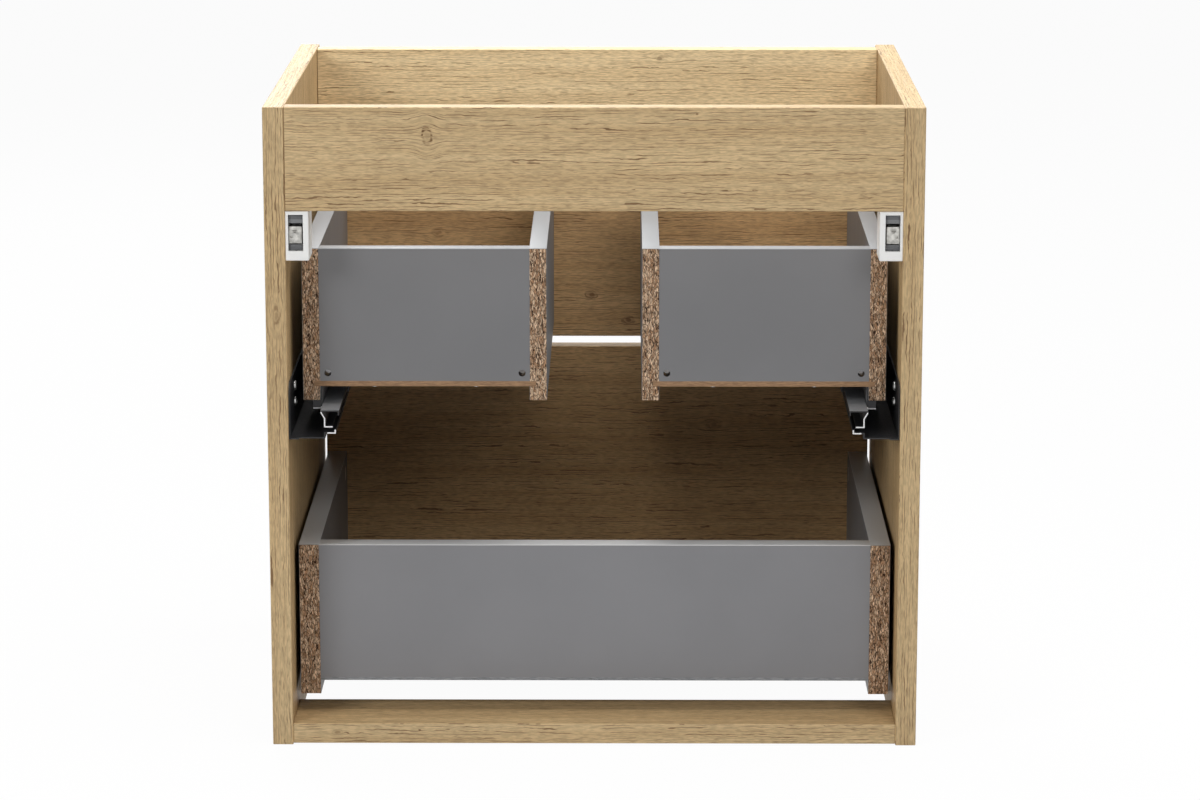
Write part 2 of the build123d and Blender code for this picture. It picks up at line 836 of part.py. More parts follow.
def save_hanger(hand, side):
    """Adjustable wall hanger: a housing, a carrier that moves in depth and a claw that moves in height."""
    top = top_rail_bottom - hanger_top_gap
    low = top - hanger_height
    rear = rear_y - hanger_inset
    front = rear - hanger_depth
    pocket_near = window_side_margin
    pocket_far = window_side_margin + window_width
    pocket_low = low + hanger_wall
    pocket_high = top - hanger_wall
    window_high = top - window_top_margin
    window_low = low + window_bottom_margin
    pocket_x = [across(side, pocket_near), across(side, pocket_far)]

    # Carrier plate, with the depth screw's nut at its foot and two lugs for the height screw
    plate_front = front + hanger_wall + depth_travel_in + 2 * carrier_gap
    plate_rear = plate_front + carrier_plate
    carrier_near = pocket_near + carrier_gap
    carrier_far = pocket_far - carrier_gap
    carrier_low = pocket_low + carrier_gap
    carrier_high = pocket_high - carrier_gap
    nut_far = carrier_near + carrier_nut_width
    nut_high = window_low - carrier_gap
    depth_axis_reach = carrier_near + carrier_nut_width / 2
    depth_axis_z = (carrier_low + nut_high) / 2

    # Claw, whose nut runs on the height screw between the lugs
    claw_low = window_low + claw_bottom_gap
    claw_high = claw_low + claw_height
    claw_far = carrier_near + claw_width
    claw_front = plate_rear + carrier_lug_reach + 2 * carrier_gap
    claw_rear = claw_front + claw_depth
    notch_rear = claw_rear - claw_nose
    claw_nut_low = claw_low + (claw_height - claw_nut_height) / 2
    height_axis_reach = claw_far - claw_nut_width / 2
    height_axis_y = plate_rear + carrier_lug_reach / 2
    lug_near = claw_far - claw_nut_width - carrier_gap
    lower_lug_low = carrier_low + adjuster_head_height + 2 * carrier_gap

    with BuildPart() as housing:
        block((across(side, 0), across(side, hanger_width)), (front, rear), (low, top))
        chamfer(housing.edges(), edge_break)
        block(pocket_x, (front + hanger_wall, rear - hanger_wall), (pocket_low, pocket_high), Mode.SUBTRACT)
        block(pocket_x, (rear - 2 * hanger_wall, rear), (window_low, window_high), Mode.SUBTRACT)
        depth_mouth = (across(side, depth_axis_reach), front, depth_axis_z)
        drill([depth_mouth], FORWARD, depth_screw_diameter + 2 * fit, 2 * hanger_wall)
        drill([depth_mouth], FORWARD, adjuster_head_diameter + 2 * fit, hanger_wall / 2)
        slot_half = adjuster_head_diameter / 2 + fit
        slot_x = [across(side, height_axis_reach - slot_half), across(side, height_axis_reach + slot_half)]
        slot_y = (height_axis_y - depth_travel_in - slot_half, height_axis_y + depth_travel_out + slot_half)
        block(slot_x, slot_y, (low, pocket_low), Mode.SUBTRACT)
        rods(peg_points(side), (side, 0, 0), peg_diameter, peg_length)
    save(housing.part, f"{hand}_hanger_housing")

    with BuildPart() as carrier:
        carrier_x = [across(side, carrier_near), across(side, carrier_far)]
        lug_x = [across(side, lug_near), across(side, carrier_far)]
        lug_y = (plate_front, plate_rear + carrier_lug_reach)
        block(carrier_x, (plate_front, plate_rear), (carrier_low, carrier_high))
        block(
            [across(side, carrier_near), across(side, nut_far)],
            (plate_front, plate_front + carrier_nut_length),
            (carrier_low, nut_high),
        )
        block(lug_x, lug_y, (carrier_high - carrier_lug, carrier_high))
        block(lug_x, lug_y, (lower_lug_low, lower_lug_low + carrier_lug))
        height_top = (across(side, height_axis_reach), height_axis_y, carrier_high)
        drill([height_top], UP, height_screw_diameter + 2 * fit, carrier_high - carrier_low)
        depth_entry = (across(side, depth_axis_reach), plate_front, depth_axis_z)
        drill([depth_entry], FORWARD, depth_screw_diameter + 2 * fit, carrier_nut_length)
    save(carrier.part, f"{hand}_hanger_carrier")

    with BuildPart() as claw:
        claw_x = [across(side, carrier_near), across(side, claw_far)]
        block(claw_x, (claw_front, claw_rear), (claw_low, claw_high))
        block(
            claw_x,
            (notch_rear - claw_notch_width, notch_rear),
            (claw_low, claw_low + claw_notch_height),
            Mode.SUBTRACT,
        )
        block(
            [across(side, claw_far - claw_nut_width), across(side, claw_far)],
            (plate_rear + carrier_gap, claw_front),
            (claw_nut_low, claw_nut_low + claw_nut_height),
        )
        height_entry = (across(side, height_axis_reach), height_axis_y, claw_nut_low + claw_nut_height)
        drill([height_entry], UP, height_screw_diameter + 2 * fit, claw_nut_height)
        mark = (across(side, carrier_near + claw_width / 2), claw_rear, claw_high - claw_nose)
        drill([mark], BACKWARD, claw_mark_diameter, claw_mark_depth)
    save(claw.part, f"{hand}_hanger_claw")

    with BuildPart() as depth_screw:
        head_front = front + fit
        head_start = (across(side, depth_axis_reach), head_front, depth_axis_z)
        shank_end = plate_front + carrier_nut_length + depth_travel_out
        rods([head_start], BACKWARD, adjuster_head_diameter, hanger_wall / 2 - 2 * fit)
        rods([head_start], BACKWARD, depth_screw_diameter, shank_end - head_front)
    save(depth_screw.part, f"{hand}_depth_screw")

    with BuildPart() as height_screw:
        head_low = lower_lug_low - fit - adjuster_head_height
        head_start = (across(side, height_axis_reach), height_axis_y, head_low)
        rods([head_start], UP, adjuster_head_diameter, adjuster_head_height)
        rods([head_start], UP, height_screw_diameter, carrier_high - head_low)
    save(height_screw.part, f"{hand}_height_screw")


def make_drawers():
    """The upper drawer, whose two boxes leave room for the drain trap, and the lower drawer."""
    upper_lip = upper_side_gap + upper_board
    lower_lip = lower_side_gap + lower_board
    near_x = trap_gap / 2 + upper_board
    upper_far_x = inner_x - upper_lip
    lower_far_x = inner_x - lower_lip
    left_sides = ("upper_left_outer_side", "upper_left_inner_side")
    right_sides = ("upper_right_inner_side", "upper_right_outer_side")
    lower_sides = ("lower_left_side", "lower_right_side")
    upper = Drawer(
        name="upper",
        board=upper_board,
        bottom_board=upper_bottom_board,
        front_bottom=upper_front_bottom,
        front_top=upper_front_top,
        side_bottom=upper_front_bottom + upper_side_rise,
        side_height=upper_side_height,
        lip_reach=upper_lip,
        compartments=[
            Compartment("upper_left", -upper_far_x, -near_x, *left_sides),
            Compartment("upper_right", near_x, upper_far_x, *right_sides),
        ],
        travel_reserve=upper_travel_reserve,
        wall_plate_height=upper_wall_plate_height,
        wall_screw_rows=upper_wall_screw_rows,
        tube_height=upper_tube_height,
        middle_height=upper_middle_height,
        middle_leg=upper_middle_leg,
        middle_slant=upper_middle_slant,
        shelf_riser=upper_shelf_riser,
        seat_drop=upper_seat_drop,
        wall_rear=rear_y - upper_wall_setback,
        shelf_rear=rear_y - upper_shelf_setback,
        middle_rear=rear_y - upper_middle_setback,
        middle_front=runner_front_y + upper_middle_front_gap,
        flange_rear=box_rear_y - upper_flange_inset,
        tube_rear=box_rear_y - upper_tube_inset,
    )
    lower = Drawer(
        name="lower",
        board=lower_board,
        bottom_board=lower_bottom_board,
        front_bottom=front_bottom_reveal,
        front_top=lower_front_top,
        side_bottom=front_bottom_reveal + lower_side_rise,
        side_height=lower_side_height,
        lip_reach=lower_lip,
        compartments=[Compartment("lower", -lower_far_x, lower_far_x, *lower_sides)],
        travel_reserve=lower_travel_reserve,
        wall_plate_height=lower_wall_plate_height,
        wall_screw_rows=lower_wall_screw_rows,
        tube_height=lower_tube_height,
        middle_height=lower_middle_height,
        middle_leg=lower_middle_leg,
        middle_slant=lower_middle_slant,
        shelf_riser=lower_shelf_riser,
        seat_drop=lower_seat_drop,
        wall_rear=rear_y - lower_wall_setback,
        shelf_rear=rear_y - lower_shelf_setback,
        middle_rear=rear_y - lower_middle_setback,
        middle_front=runner_front_y + lower_middle_front_gap,
        flange_rear=box_rear_y - lower_flange_inset,
        tube_rear=box_rear_y - lower_tube_inset,
    )
    return upper, lower


os.makedirs("parts", exist_ok=True)
drawers = make_drawers()
for hand, side in HANDS:
    save_side_panel(hand, side, drawers)
    save_hanger(hand, side)
save_rails()
for drawer in drawers:
    save_drawer(drawer)
save_wall_screws(drawers)
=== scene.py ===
import math
from collections import namedtuple
from contextlib import contextmanager

import bmesh
import bpy
from bpy.props import FloatProperty, FloatVectorProperty, PointerProperty
from bpy.types import Operator, Panel, PropertyGroup
from mathutils import Matrix, Vector


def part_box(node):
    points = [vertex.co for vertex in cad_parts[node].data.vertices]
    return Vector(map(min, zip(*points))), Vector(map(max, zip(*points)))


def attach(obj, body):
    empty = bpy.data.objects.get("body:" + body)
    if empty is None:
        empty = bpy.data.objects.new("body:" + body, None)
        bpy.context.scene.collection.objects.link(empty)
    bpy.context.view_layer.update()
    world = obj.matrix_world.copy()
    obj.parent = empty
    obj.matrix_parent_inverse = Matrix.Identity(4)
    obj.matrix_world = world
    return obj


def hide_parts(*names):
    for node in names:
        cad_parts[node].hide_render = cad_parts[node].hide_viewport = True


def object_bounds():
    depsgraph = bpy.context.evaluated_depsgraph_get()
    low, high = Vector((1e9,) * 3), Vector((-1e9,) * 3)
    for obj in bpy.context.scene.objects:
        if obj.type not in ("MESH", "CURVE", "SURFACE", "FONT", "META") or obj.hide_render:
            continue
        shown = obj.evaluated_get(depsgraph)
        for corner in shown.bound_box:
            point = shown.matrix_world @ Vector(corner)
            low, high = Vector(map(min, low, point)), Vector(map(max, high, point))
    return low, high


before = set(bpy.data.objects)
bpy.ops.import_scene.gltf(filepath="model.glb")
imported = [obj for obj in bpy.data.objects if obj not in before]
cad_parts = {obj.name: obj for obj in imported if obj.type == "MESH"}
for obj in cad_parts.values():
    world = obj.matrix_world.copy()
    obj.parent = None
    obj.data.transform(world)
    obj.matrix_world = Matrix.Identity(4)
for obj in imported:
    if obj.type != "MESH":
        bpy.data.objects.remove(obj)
cad_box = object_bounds()

bl_info = {
    "name": "Vanity base cabinet",
    "version": (1, 0, 0),
    "blender": (4, 5, 0),
    "location": "3D View > Sidebar > Vanity",
    "description": "Finishes, small fittings and studio of a wall-hung vanity base cabinet",
    "category": "Object",
}

MM = 0.001
WHITE = (1.0, 1.0, 1.0)

# Names of the cabinet's pieces
HANDS = ("left", "right")
DRAWERS = ("upper", "lower")
GROUPS = ("carcass", "upper_drawer", "lower_drawer")
UPPER_SIDES = (
    "upper_left_outer_side",
    "upper_left_inner_side",
    "upper_right_inner_side",
    "upper_right_outer_side",
)
BOX_SIDES = (*UPPER_SIDES, "lower_left_side", "lower_right_side")
UPPER_BACKS = ("upper_left_back", "upper_right_back")
BOX_BACKS = (*UPPER_BACKS, "lower_back")
UPPER_BOTTOMS = ("upper_left_bottom", "upper_right_bottom")

# Share of a surface's normal along an axis, from not facing that way to facing it
FACING = (0.6, 0.8)

# Limits in metres, along X from the middle or along Z, that hold the whole cabinet
ANYWHERE = (0, 1)

# A knot's place along and across the grain, its half sizes, and how dark its rim and heart are
Knot = namedtuple("Knot", "along across half_length half_height rim heart")
EYE = (5 * MM, 9 * MM, 1.0, 0.2)
SPECK = (2.2 * MM, 1.6 * MM, 0.0, 0.7)
PIN_KNOT = (5 * MM, 3 * MM, 0.25, 0.55)
EDGE_KNOT = (9 * MM, 4 * MM, 0.5, 0.3)
ROUND_KNOT = (8 * MM, 5 * MM, 0.35, 0.5)
DARK_KNOT = (7 * MM, 4 * MM, 0.6, 0.75)

# How soon a knot's push on the grain fades, how strong it is, and how ragged the knot is
KNOT_FADE = -0.25
KNOT_PUSH = 0.6
KNOT_RAGGED = 1.1

# The axis of a board's grain, the seed of its pattern, its knots and its tint; a tint over white
# is painted light. A seam is the place along the grain, on both sides of zero, of the joints with
# the next boards, where painted shade darkens the board. An inside is the direction that a face
# with painted shade looks in, and the warmer, darker tint of that painted shade.
Board = namedtuple("Board", "grain seed knots tint seam inside", defaults=(WHITE, None, None))

# Largest share of the pore colour in the oak, and the noise distance between neighbouring lines
PORE_STRENGTH = 0.84
LINE_STEP = 7.3

# Sizes of the screws along X, with heads to the cabinet's middle, and along Z, with heads down
RUNNER_SCREW = {"axis": 0, "head_height": 2 * MM, "shank_radius": 2.3 * MM, "tip": 2.5 * MM}
DRAWER_SCREW = {"axis": 2, "head_height": 1.8 * MM, "shank_radius": 1.7 * MM, "tip": 2 * MM}
LOCK_HEIGHT = 12 * MM

# Each lamp's place and the length of its sides, in metres
LAMPS = {
    "key": ((2.4, 2.6, 1.9), 1.2),
    "top": ((-0.25, 0.0, 1.9), 1.3),
    "fill": ((-1.5, 2.8, 2.2), 1.4),
    "front": ((0.9, -2.7, 2.2), 1.6),
}
FLOOR_SIZE = 40
SENSOR_WIDTH = 36

# Squares of a raw end's grid, limit for merging points, and smoothing angle of new pieces
GRID_CELL = 0.8 * MM
MERGE_LIMIT = 0.001 * MM
SMOOTH_ANGLE = math.radians(35)


def srgb(red, green, blue):
    """Linear colour of an sRGB one whose channels run from 0 to 255."""
    shares = (channel / 255 for channel in (red, green, blue))
    return tuple(s / 12.92 if s <= 0.04045 else ((s + 0.055) / 1.055) ** 2.4 for s in shares)


def maker(kind, **settings):
    """Function that makes properties of one kind from a label, a description and a default."""

    def make(label, about, value):
        return kind(name=label, description=about, default=value, **settings)

    return make


colour = maker(FloatVectorProperty, subtype="COLOR", min=0, max=1)
length = maker(FloatProperty, subtype="DISTANCE", unit="LENGTH")
share = maker(FloatProperty, subtype="FACTOR", min=0, max=1)
strength = maker(FloatProperty, min=0)
power = maker(FloatProperty, unit="POWER")
focus = maker(FloatProperty, subtype="DISTANCE_CAMERA")
point = maker(FloatVectorProperty, subtype="XYZ", unit="LENGTH")


class OakSettings(PropertyGroup):
    """Oak decor of the side panels, the rails and the drawer fronts."""

    pale: colour("Pale grain", "Light wood between the growth bands", srgb(206, 180, 137))
    warm: colour("Warm grain", "Darker wood of the growth bands", srgb(193, 165, 122))
    pore: colour("Pores", "Colour of the open pores and of the knots", srgb(102, 69, 36))
    # The next two tints are painted shade: inner faces made warmer and darker, as shade and bounce
    # light make them
    inner_foil: colour("Inner foil", "Tint of the drawer fronts' inner faces", (1.0, 0.85, 0.73))
    panel_foil: colour("Panel foil", "Tint of the carcass's inner faces", (1.0, 0.95, 0.88))
    band_width: length("Band width", "Typical width of a growth band", 12 * MM)
    band_length: length("Band length", "Typical length of a growth band", 420 * MM)
    fibre_width: length("Fibre width", "Typical width of a fibre", 1.3 * MM)
    fibre_length: length("Fibre length", "Typical length of a fibre", 60 * MM)
    crackle_width: length("Crackle width", "Typical width of a fine streak", 1.1 * MM)
    crackle_length: length("Crackle length", "Typical length of a fine streak", 7 * MM)
    line_gap: length("Line gap", "Distance between long grain lines", 3.0 * MM)
    line_length: length("Line length", "Typical length of a line between breaks", 34 * MM)
    wave: length("Wave", "How far a grain line waves to and fro", 1.6 * MM)
    wave_width: length("Wave width", "How far apart lines wave differently", 6 * MM)
    wave_length: length("Wave length", "Typical length of a grain line's waves", 15 * MM)
    break_width: length("Break width", "Typical width of the breaks in a knot's rim", 1.5 * MM)
    break_length: length("Break length", "Typical length of the breaks in a knot's rim", 34 * MM)
    fleck_width: length("Fleck spacing", "Typical distance between short pores", 0.9 * MM)
    fleck_length: length("Fleck length", "Typical length of a short pore", 11 * MM)
    sway: length("Sway", "How far the grain sways to and fro", 7 * MM)
    pore_depth: length("Pore depth", "Depth of the pressed pores", 0.15 * MM)
    roughness: share("Roughness", "Roughness of the laminate", 0.5)


class DrawerSettings(PropertyGroup):
    """Grey boards of the drawer boxes and their raw chipboard ends."""

    melamine: colour("Melamine", "Grey faces of the drawer boards", srgb(118, 118, 120))
    # The lower back's grey is a lighter copy of the melamine: painted light
    pale_melamine: colour("Pale melamine", "Grey of the lower drawer's back", srgb(130, 130, 133))
    band: colour("Edge band", "Band on the upper boards' top edges", srgb(145, 148, 152))
    # The lower boards' band is a paler copy of the band: painted light
    pale_band: colour("Pale band", "Band on the lower boards' top edges", srgb(205, 205, 205))
    chip_pale: colour("Pale chips", "Lightest chips of a raw end", srgb(238, 208, 176))
    chip_brown: colour("Brown chips", "Common chips of a raw end", srgb(188, 148, 114))
    # The dark colour in the gaps is painted shade
    chip_dark: colour("Dark gaps", "Bark and gaps of a raw end", srgb(58, 40, 30))
    # Near-black painted shade on the walls of the upper backs' holes
    hole: colour("Holes", "Raw inside of the holes in the upper backs", srgb(36, 34, 34))
    fibre: colour("Fibreboard", "Raw edges of the thin bottom panels", srgb(160, 126, 94))
    chip_width: length("Chip width", "Typical width of a chip seen on end", 1.2 * MM)
    chip_length: length("Chip length", "Typical length of a chip seen on end", 4.8 * MM)
    chip_relief: length("Chip relief", "How rough a raw end is", 0.6 * MM)
    foil: length("Foil", "Thickness of the melamine foil beside a raw end", 0.35 * MM)
    band_height: length("Band height", "Height of an edge band", 0.8 * MM)
    band_lift: length("Band lift", "How far an edge band stands over its board", 0.15 * MM)
    band_round: length("Band rounding", "Rounding of an edge band's edges", 0.3 * MM)


class FittingSettings(PropertyGroup):
    """Metal and plastic of the runners, hangers, screws and cam locks."""

    zinc: colour("Zinc", "Galvanised rails", srgb(196, 197, 198))
    plated: colour("Plated steel", "Screws and cam locks", srgb(206, 206, 204))
    nickel: colour("Nickel", "Claws of the wall hangers", srgb(214, 212, 206))
    black: colour("Black coat", "Coated rails of the upper runners", srgb(24, 24, 26))
    # The cut ends' near-white is a painted highlight on bare steel
    cut: colour("Cut ends", "Bright cut ends of the coated rails", srgb(236, 236, 236))
    bare: colour("Bare plates", "Grey plates of the upper runners", srgb(132, 133, 135))
    carrier: colour("Carrier", "Dark steel inside the wall hangers", srgb(52, 53, 56))
    guard: colour("Guard plates", "Plates over and under a hanger's claw", srgb(90, 91, 93))
    # The guard flap's paler half and the carrier's pale upper end are painted light
    guard_painted_light: colour("Guard flap", "Lower half of an upper guard plate", srgb(122, 123, 125))
    lug: colour("Lug", "Pale upper end of a hanger's carrier", srgb(206, 207, 210))
    plastic: colour("White plastic", "Housings of the wall hangers", srgb(243, 243, 241))
    nylon: colour("Dark nylon", "Roller cages and spacers", srgb(38, 38, 40))
    beech: colour("Beech", "Dowels", srgb(206, 172, 132))
    recess: length("Recess depth", "Depth of a screw's cross recess", 1.3 * MM)
    guard_fold: length("Guard fold", "Depth of a guard's fold under the carrier's top", 5 * MM)
    claw_round: length("Claw rounding", "Rounding of the cast claw's edges", 0.45 * MM)


class StageSettings(PropertyGroup):
    """Camera, lights and floor."""

    camera_place: point("Camera", "Place of the camera", (-0.0262, 3.8349, 1.1157))
    camera_aim: point("Aim", "Point in the picture's middle", (-0.0054, 0.225, 0.3298))
    lens: focus("Lens", "Focal length", 120.9)
    key_power: power("Key", "Power of the key light", 49)
    top_power: power("Top", "Power of the overhead light", 30)
    fill_power: power("Fill", "Power of the light beside the camera", 28)
    front_power: power("Front", "Power of the light on the drawer fronts", 46)
    sky: strength("Sky", "Strength of the even light from all round", 0.05)
    floor: colour("Floor", "Colour of the floor", (0.9, 0.9, 0.9))
    floor_gap: length("Floor gap", "How far the floor lies under the cabinet", 0.5 * MM)
    floor_glow: share("Floor glow", "Share of the floor's light that no lamp gives", 0.96)


def sum_with(operation):
    """Method of a number that adds a Math node to its tree."""
    return lambda number, *others: number.tree.maths(operation, number, *others)


class Number:
    """Number in a node tree, with which sums are written as usual."""

    __add__ = sum_with("ADD")
    __sub__ = sum_with("SUBTRACT")
    __mul__ = sum_with("MULTIPLY")
    __truediv__ = sum_with("DIVIDE")
    __gt__ = sum_with("GREATER_THAN")
    __lt__ = sum_with("LESS_THAN")
    __abs__ = sum_with("ABSOLUTE")

    def __init__(self, tree, socket):
        self.tree = tree
        self.socket = socket


class Nodes:
    """Short ways to add nodes to a tree."""

    def __init__(self, tree):
        self.nodes = tree.nodes
        self.links = tree.links

    def plug(self, socket, value):
        """Link a socket to another one, or set its value."""
        if isinstance(value, Number):
            value = value.socket
        if isinstance(value, bpy.types.NodeSocket):
            self.links.new(value, socket)
        elif socket.type == "RGBA" and len(value) == 3:
            socket.default_value = (*value, 1)
        else:
            socket.default_value = value

    def node(self, kind, values, **settings):
        """Outputs of a new node with its settings and its inputs, by name or by number."""
        node = self.nodes.new(kind)
        for key, setting in settings.items():
            setattr(node, key, setting)
        for key, value in values.items():
            self.plug(node.inputs[key], value)
        return node.outputs

    def number(self, kind, values, **settings):
        """First output of a new node, as a number."""
        return Number(self, self.node(kind, values, **settings)[0])

    def maths(self, operation, *values):
        """Result of a sum on numbers."""
        return self.number("ShaderNodeMath", dict(enumerate(values)), operation=operation)


class Finish(Nodes):
    """One material whose patterns lie on the piece's own coordinates."""

    def __init__(self, name):
        self.material = bpy.data.materials.new(name)
        self.material.use_nodes = True
        super().__init__(self.material.node_tree)
        self.shader = self.nodes["Principled BSDF"]
        coordinates = self.node("ShaderNodeTexCoord", {})
        self.place = coordinates["Object"]
        self.facing = coordinates["Normal"]

    def vector(self, operation, *values):
        """Outputs of a sum on vectors."""
        return self.node("ShaderNodeVectorMath", dict(enumerate(values)), operation=operation)

    def split(self, vector):
        """Three parts of a vector."""
        return [Number(self, part) for part in self.node("ShaderNodeSeparateXYZ", {0: vector})]

    def join(self, *parts):
        """Vector from three parts."""
        return self.node("ShaderNodeCombineXYZ", dict(enumerate(parts)))[0]

    def scaled(self, per_metre, place=None):
        """Coordinates with so many units a metre, alike all ways or along X, Y and Z."""
        scale = per_metre if isinstance(per_metre, tuple) else (per_metre,) * 3
        return self.vector("MULTIPLY", self.place if place is None else place, scale)[0]

    def noise(self, vector, detail=2.0, roughness=0.5):
        """Soft noise with waves of about one unit."""
        values = {"Vector": vector, "Scale": 1.0, "Detail": detail, "Roughness": roughness}
        return self.number("ShaderNodeTexNoise", values)

    def grit(self, per_metre, detail=2.0, roughness=0.5, place=None):
        """Soft noise with so many waves a metre."""
        return self.noise(self.scaled(per_metre, place), detail, roughness)

    def cells(self, per_metre, place=None, feature="F1"):
        """Voronoi cells, so many a metre."""
        values = {"Vector": self.scaled(per_metre, place), "Scale": 1.0}
        return self.node("ShaderNodeTexVoronoi", values, feature=feature)

    def ease(self, value, low, high, start=0.0, end=1.0):
        """Smooth step from start to end while the value goes from low to high."""
        values = {"Value": value, "From Min": low, "From Max": high, "To Min": start, "To Max": end}
        return self.number("ShaderNodeMapRange", values, interpolation_type="SMOOTHSTEP")

    def blend(self, factor, first, second, kind="MIX"):
        """Colour between two colours."""
        values = {0: factor, 6: first, 7: second}
        return self.node("ShaderNodeMix", values, data_type="RGBA", blend_type=kind)[2]

    def multiply(self, base, factor):
        """Colour times a number or another colour."""
        return self.blend(1.0, base, factor, "MULTIPLY")

    def vary(self, base, value, low, high, start, end):
        """Colour times a number that eases from start to end as a value goes from low to high."""
        return self.multiply(base, self.ease(value, low, high, start, end))

    def choose(self, factor, first, second):
        """Number between two numbers."""
        return self.number("ShaderNodeMix", {0: factor, 2: first, 3: second}, data_type="FLOAT")

    def bump(self, height, depth, amount):
        """Surface normal of a relief."""
        values = {"Height": height, "Distance": depth, "Strength": amount}
        return self.node("ShaderNodeBump", values)[0]

    def facing_share(self, axis):
        """1 where the surface faces along an axis, either way, and 0 elsewhere."""
        return self.ease(abs(self.split(self.facing)["XYZ".index(axis)]), *FACING)

    def shade(self, **values):
        """Set or link the shader's own sockets, by their names with underscores."""
        for key, value in values.items():
            self.plug(self.shader.inputs[key.replace("_", " ")], value)
        return self.material


def wear(material, *names):
    """Give one material to the named pieces of the cabinet."""
    for name in names:
        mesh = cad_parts[name].data
        mesh.materials.clear()
        mesh.materials.append(material)


def grain_axes(finish, grain):
    """Coordinates along the grain, across it and into the board.

    The grain runs along X or Z on the faces, and along the length of each edge.
    """
    x, y, z = finish.split(finish.place)
    if grain == "X":
        axes, edges = (x, z, y), {"X": (z, y, x), "Z": (x, y, z)}
    else:
        axes, edges = (z, y, x), {"Z": (y, x, z), "Y": (z, x, y)}
    for axis, edge in edges.items():
        on_edge = finish.facing_share(axis)
        axes = [finish.choose(on_edge, a, b) for a, b in zip(axes, edge)]
    return axes


def flow_round(finish, knot, along, across, swayed, bark):
    """Distance from a knot in its own half sizes, and the grain pushed aside by it."""
    off_across = across - knot.across
    near_along = (along - knot.along) / knot.half_length
    near_across = off_across / knot.half_height
    square = near_along * near_along + near_across * near_across
    fade = finish.maths("EXPONENT", square * KNOT_FADE)
    radius = finish.maths("SQRT", square) + bark * KNOT_RAGGED
    return radius, swayed - off_across * fade * KNOT_PUSH


def grain_lines(finish, settings, run, waved, zones):
    """Thin grain lines, each broken here and there, and faint outside their zones."""
    count = waved / settings.line_gap
    line = finish.maths("FLOOR", count)
    off_line = abs(count - line - 0.5)
    breaks = finish.noise(finish.join(run / settings.line_length, line * LINE_STEP, 0.0))
    half_width = finish.ease(breaks, 0.34, 0.6, -0.02, 0.14)
    lines = finish.ease(half_width - off_line, 0.0, 0.06)
    return lines * finish.ease(zones, 0.36, 0.58, 0.3, 1.0)


def oak(name, settings, board):
    """Oak decor of one board."""
    finish = Finish(name)
    ease = finish.ease
    along, across, depth = grain_axes(finish, board.grain)
    run = along + board.seed
    place = finish.join(run, across, depth)

    # The grain sways, and flows round the knots
    swayed = across + (finish.grit((2.6, 11, 11), place=place) - 0.5) * (2 * settings.sway)
    bark = finish.grit(150, place=place) - 0.5
    radii = []
    for knot in board.knots:
        radius, swayed = flow_round(finish, knot, along, across, swayed, bark)
        radii.append(radius)
    grained = finish.join(run, swayed, depth)

    def streaks(kind, detail, roughness=0.5):
        """Noise that is drawn out along the grain, in the sizes set for its kind."""
        across_metre = 1 / getattr(settings, kind + "_width")
        per_metre = (1 / getattr(settings, kind + "_length"), across_metre, across_metre)
        return finish.grit(per_metre, detail, roughness, grained)

    bands = streaks("band", 3.0, 0.55)
    fibres = streaks("fibre", 2.0)
    crackle = streaks("crackle", 1.0)
    waves = streaks("wave", 2.0)
    breaks = streaks("break", 1.0)
    flecks = streaks("fleck", 1.0)
    clouds = finish.grit((5, 17, 17), place=place)
    zones = finish.grit((7, 34, 34), place=place)

    # Long lines wave and follow the bands; short flecks keep to zones of their own
    waved = swayed + (waves - 0.5) * (2 * settings.wave) + bands * settings.band_width
    lines = grain_lines(finish, settings, run, waved, zones)
    short_pores = ease(flecks, 0.57, 0.7) * ease(zones, 0.62, 0.42, 0.15, 0.6)
    pores = finish.maths("MAXIMUM", lines, short_pores)

    tone = finish.blend(ease(bands, 0.3, 0.7), settings.pale, settings.warm)
    tone = finish.vary(tone, fibres, 0.3, 0.7, 1.04, 0.95)
    tone = finish.vary(tone, crackle, 0.35, 0.65, 1.11, 0.87)
    tone = finish.vary(tone, clouds, 0.25, 0.75, 1.03, 0.95)
    tone = finish.blend(pores * PORE_STRENGTH, tone, settings.pore)
    # A tint above white lightens a whole board: painted light
    tone = finish.multiply(tone, board.tint)
    for radius, knot in zip(radii, board.knots):
        rim = ease(abs(radius - 0.8), 0.32, 0.05)
        ragged = rim * ease(breaks, 0.4, 0.56, 0.2 * knot.rim, knot.rim)
        heart = ease(radius, 0.7, 0.2, 0.0, knot.heart)
        tone = finish.blend(finish.maths("MAXIMUM", ragged, heart), tone, settings.pore)
    # Darker just inside the seams: painted shade at the joints with the side panels
    if board.seam is not None:
        joint_shade = ease(abs(along), board.seam - 1.2 * MM, board.seam - 0.4 * MM, 0.0, 0.75)
        tone = finish.blend(joint_shade, tone, settings.pore)
    # Faces that look the inside's way are tinted warmer and darker: painted shade
    if board.inside is not None:
        direction, foil = board.inside
        turned = finish.vector("DOT_PRODUCT", finish.facing, direction)["Value"]
        tone = finish.multiply(tone, finish.blend(ease(turned, *FACING), WHITE, foil))
    rough = settings.roughness
    return finish.shade(
        Base_Color=tone,
        Roughness=ease(fibres, 0.3, 0.7, rough - 0.05, rough + 0.12),
        Normal=finish.bump(fibres * 0.25 - pores, settings.pore_depth, 0.7),
        Specular_IOR_Level=0.4,
    )


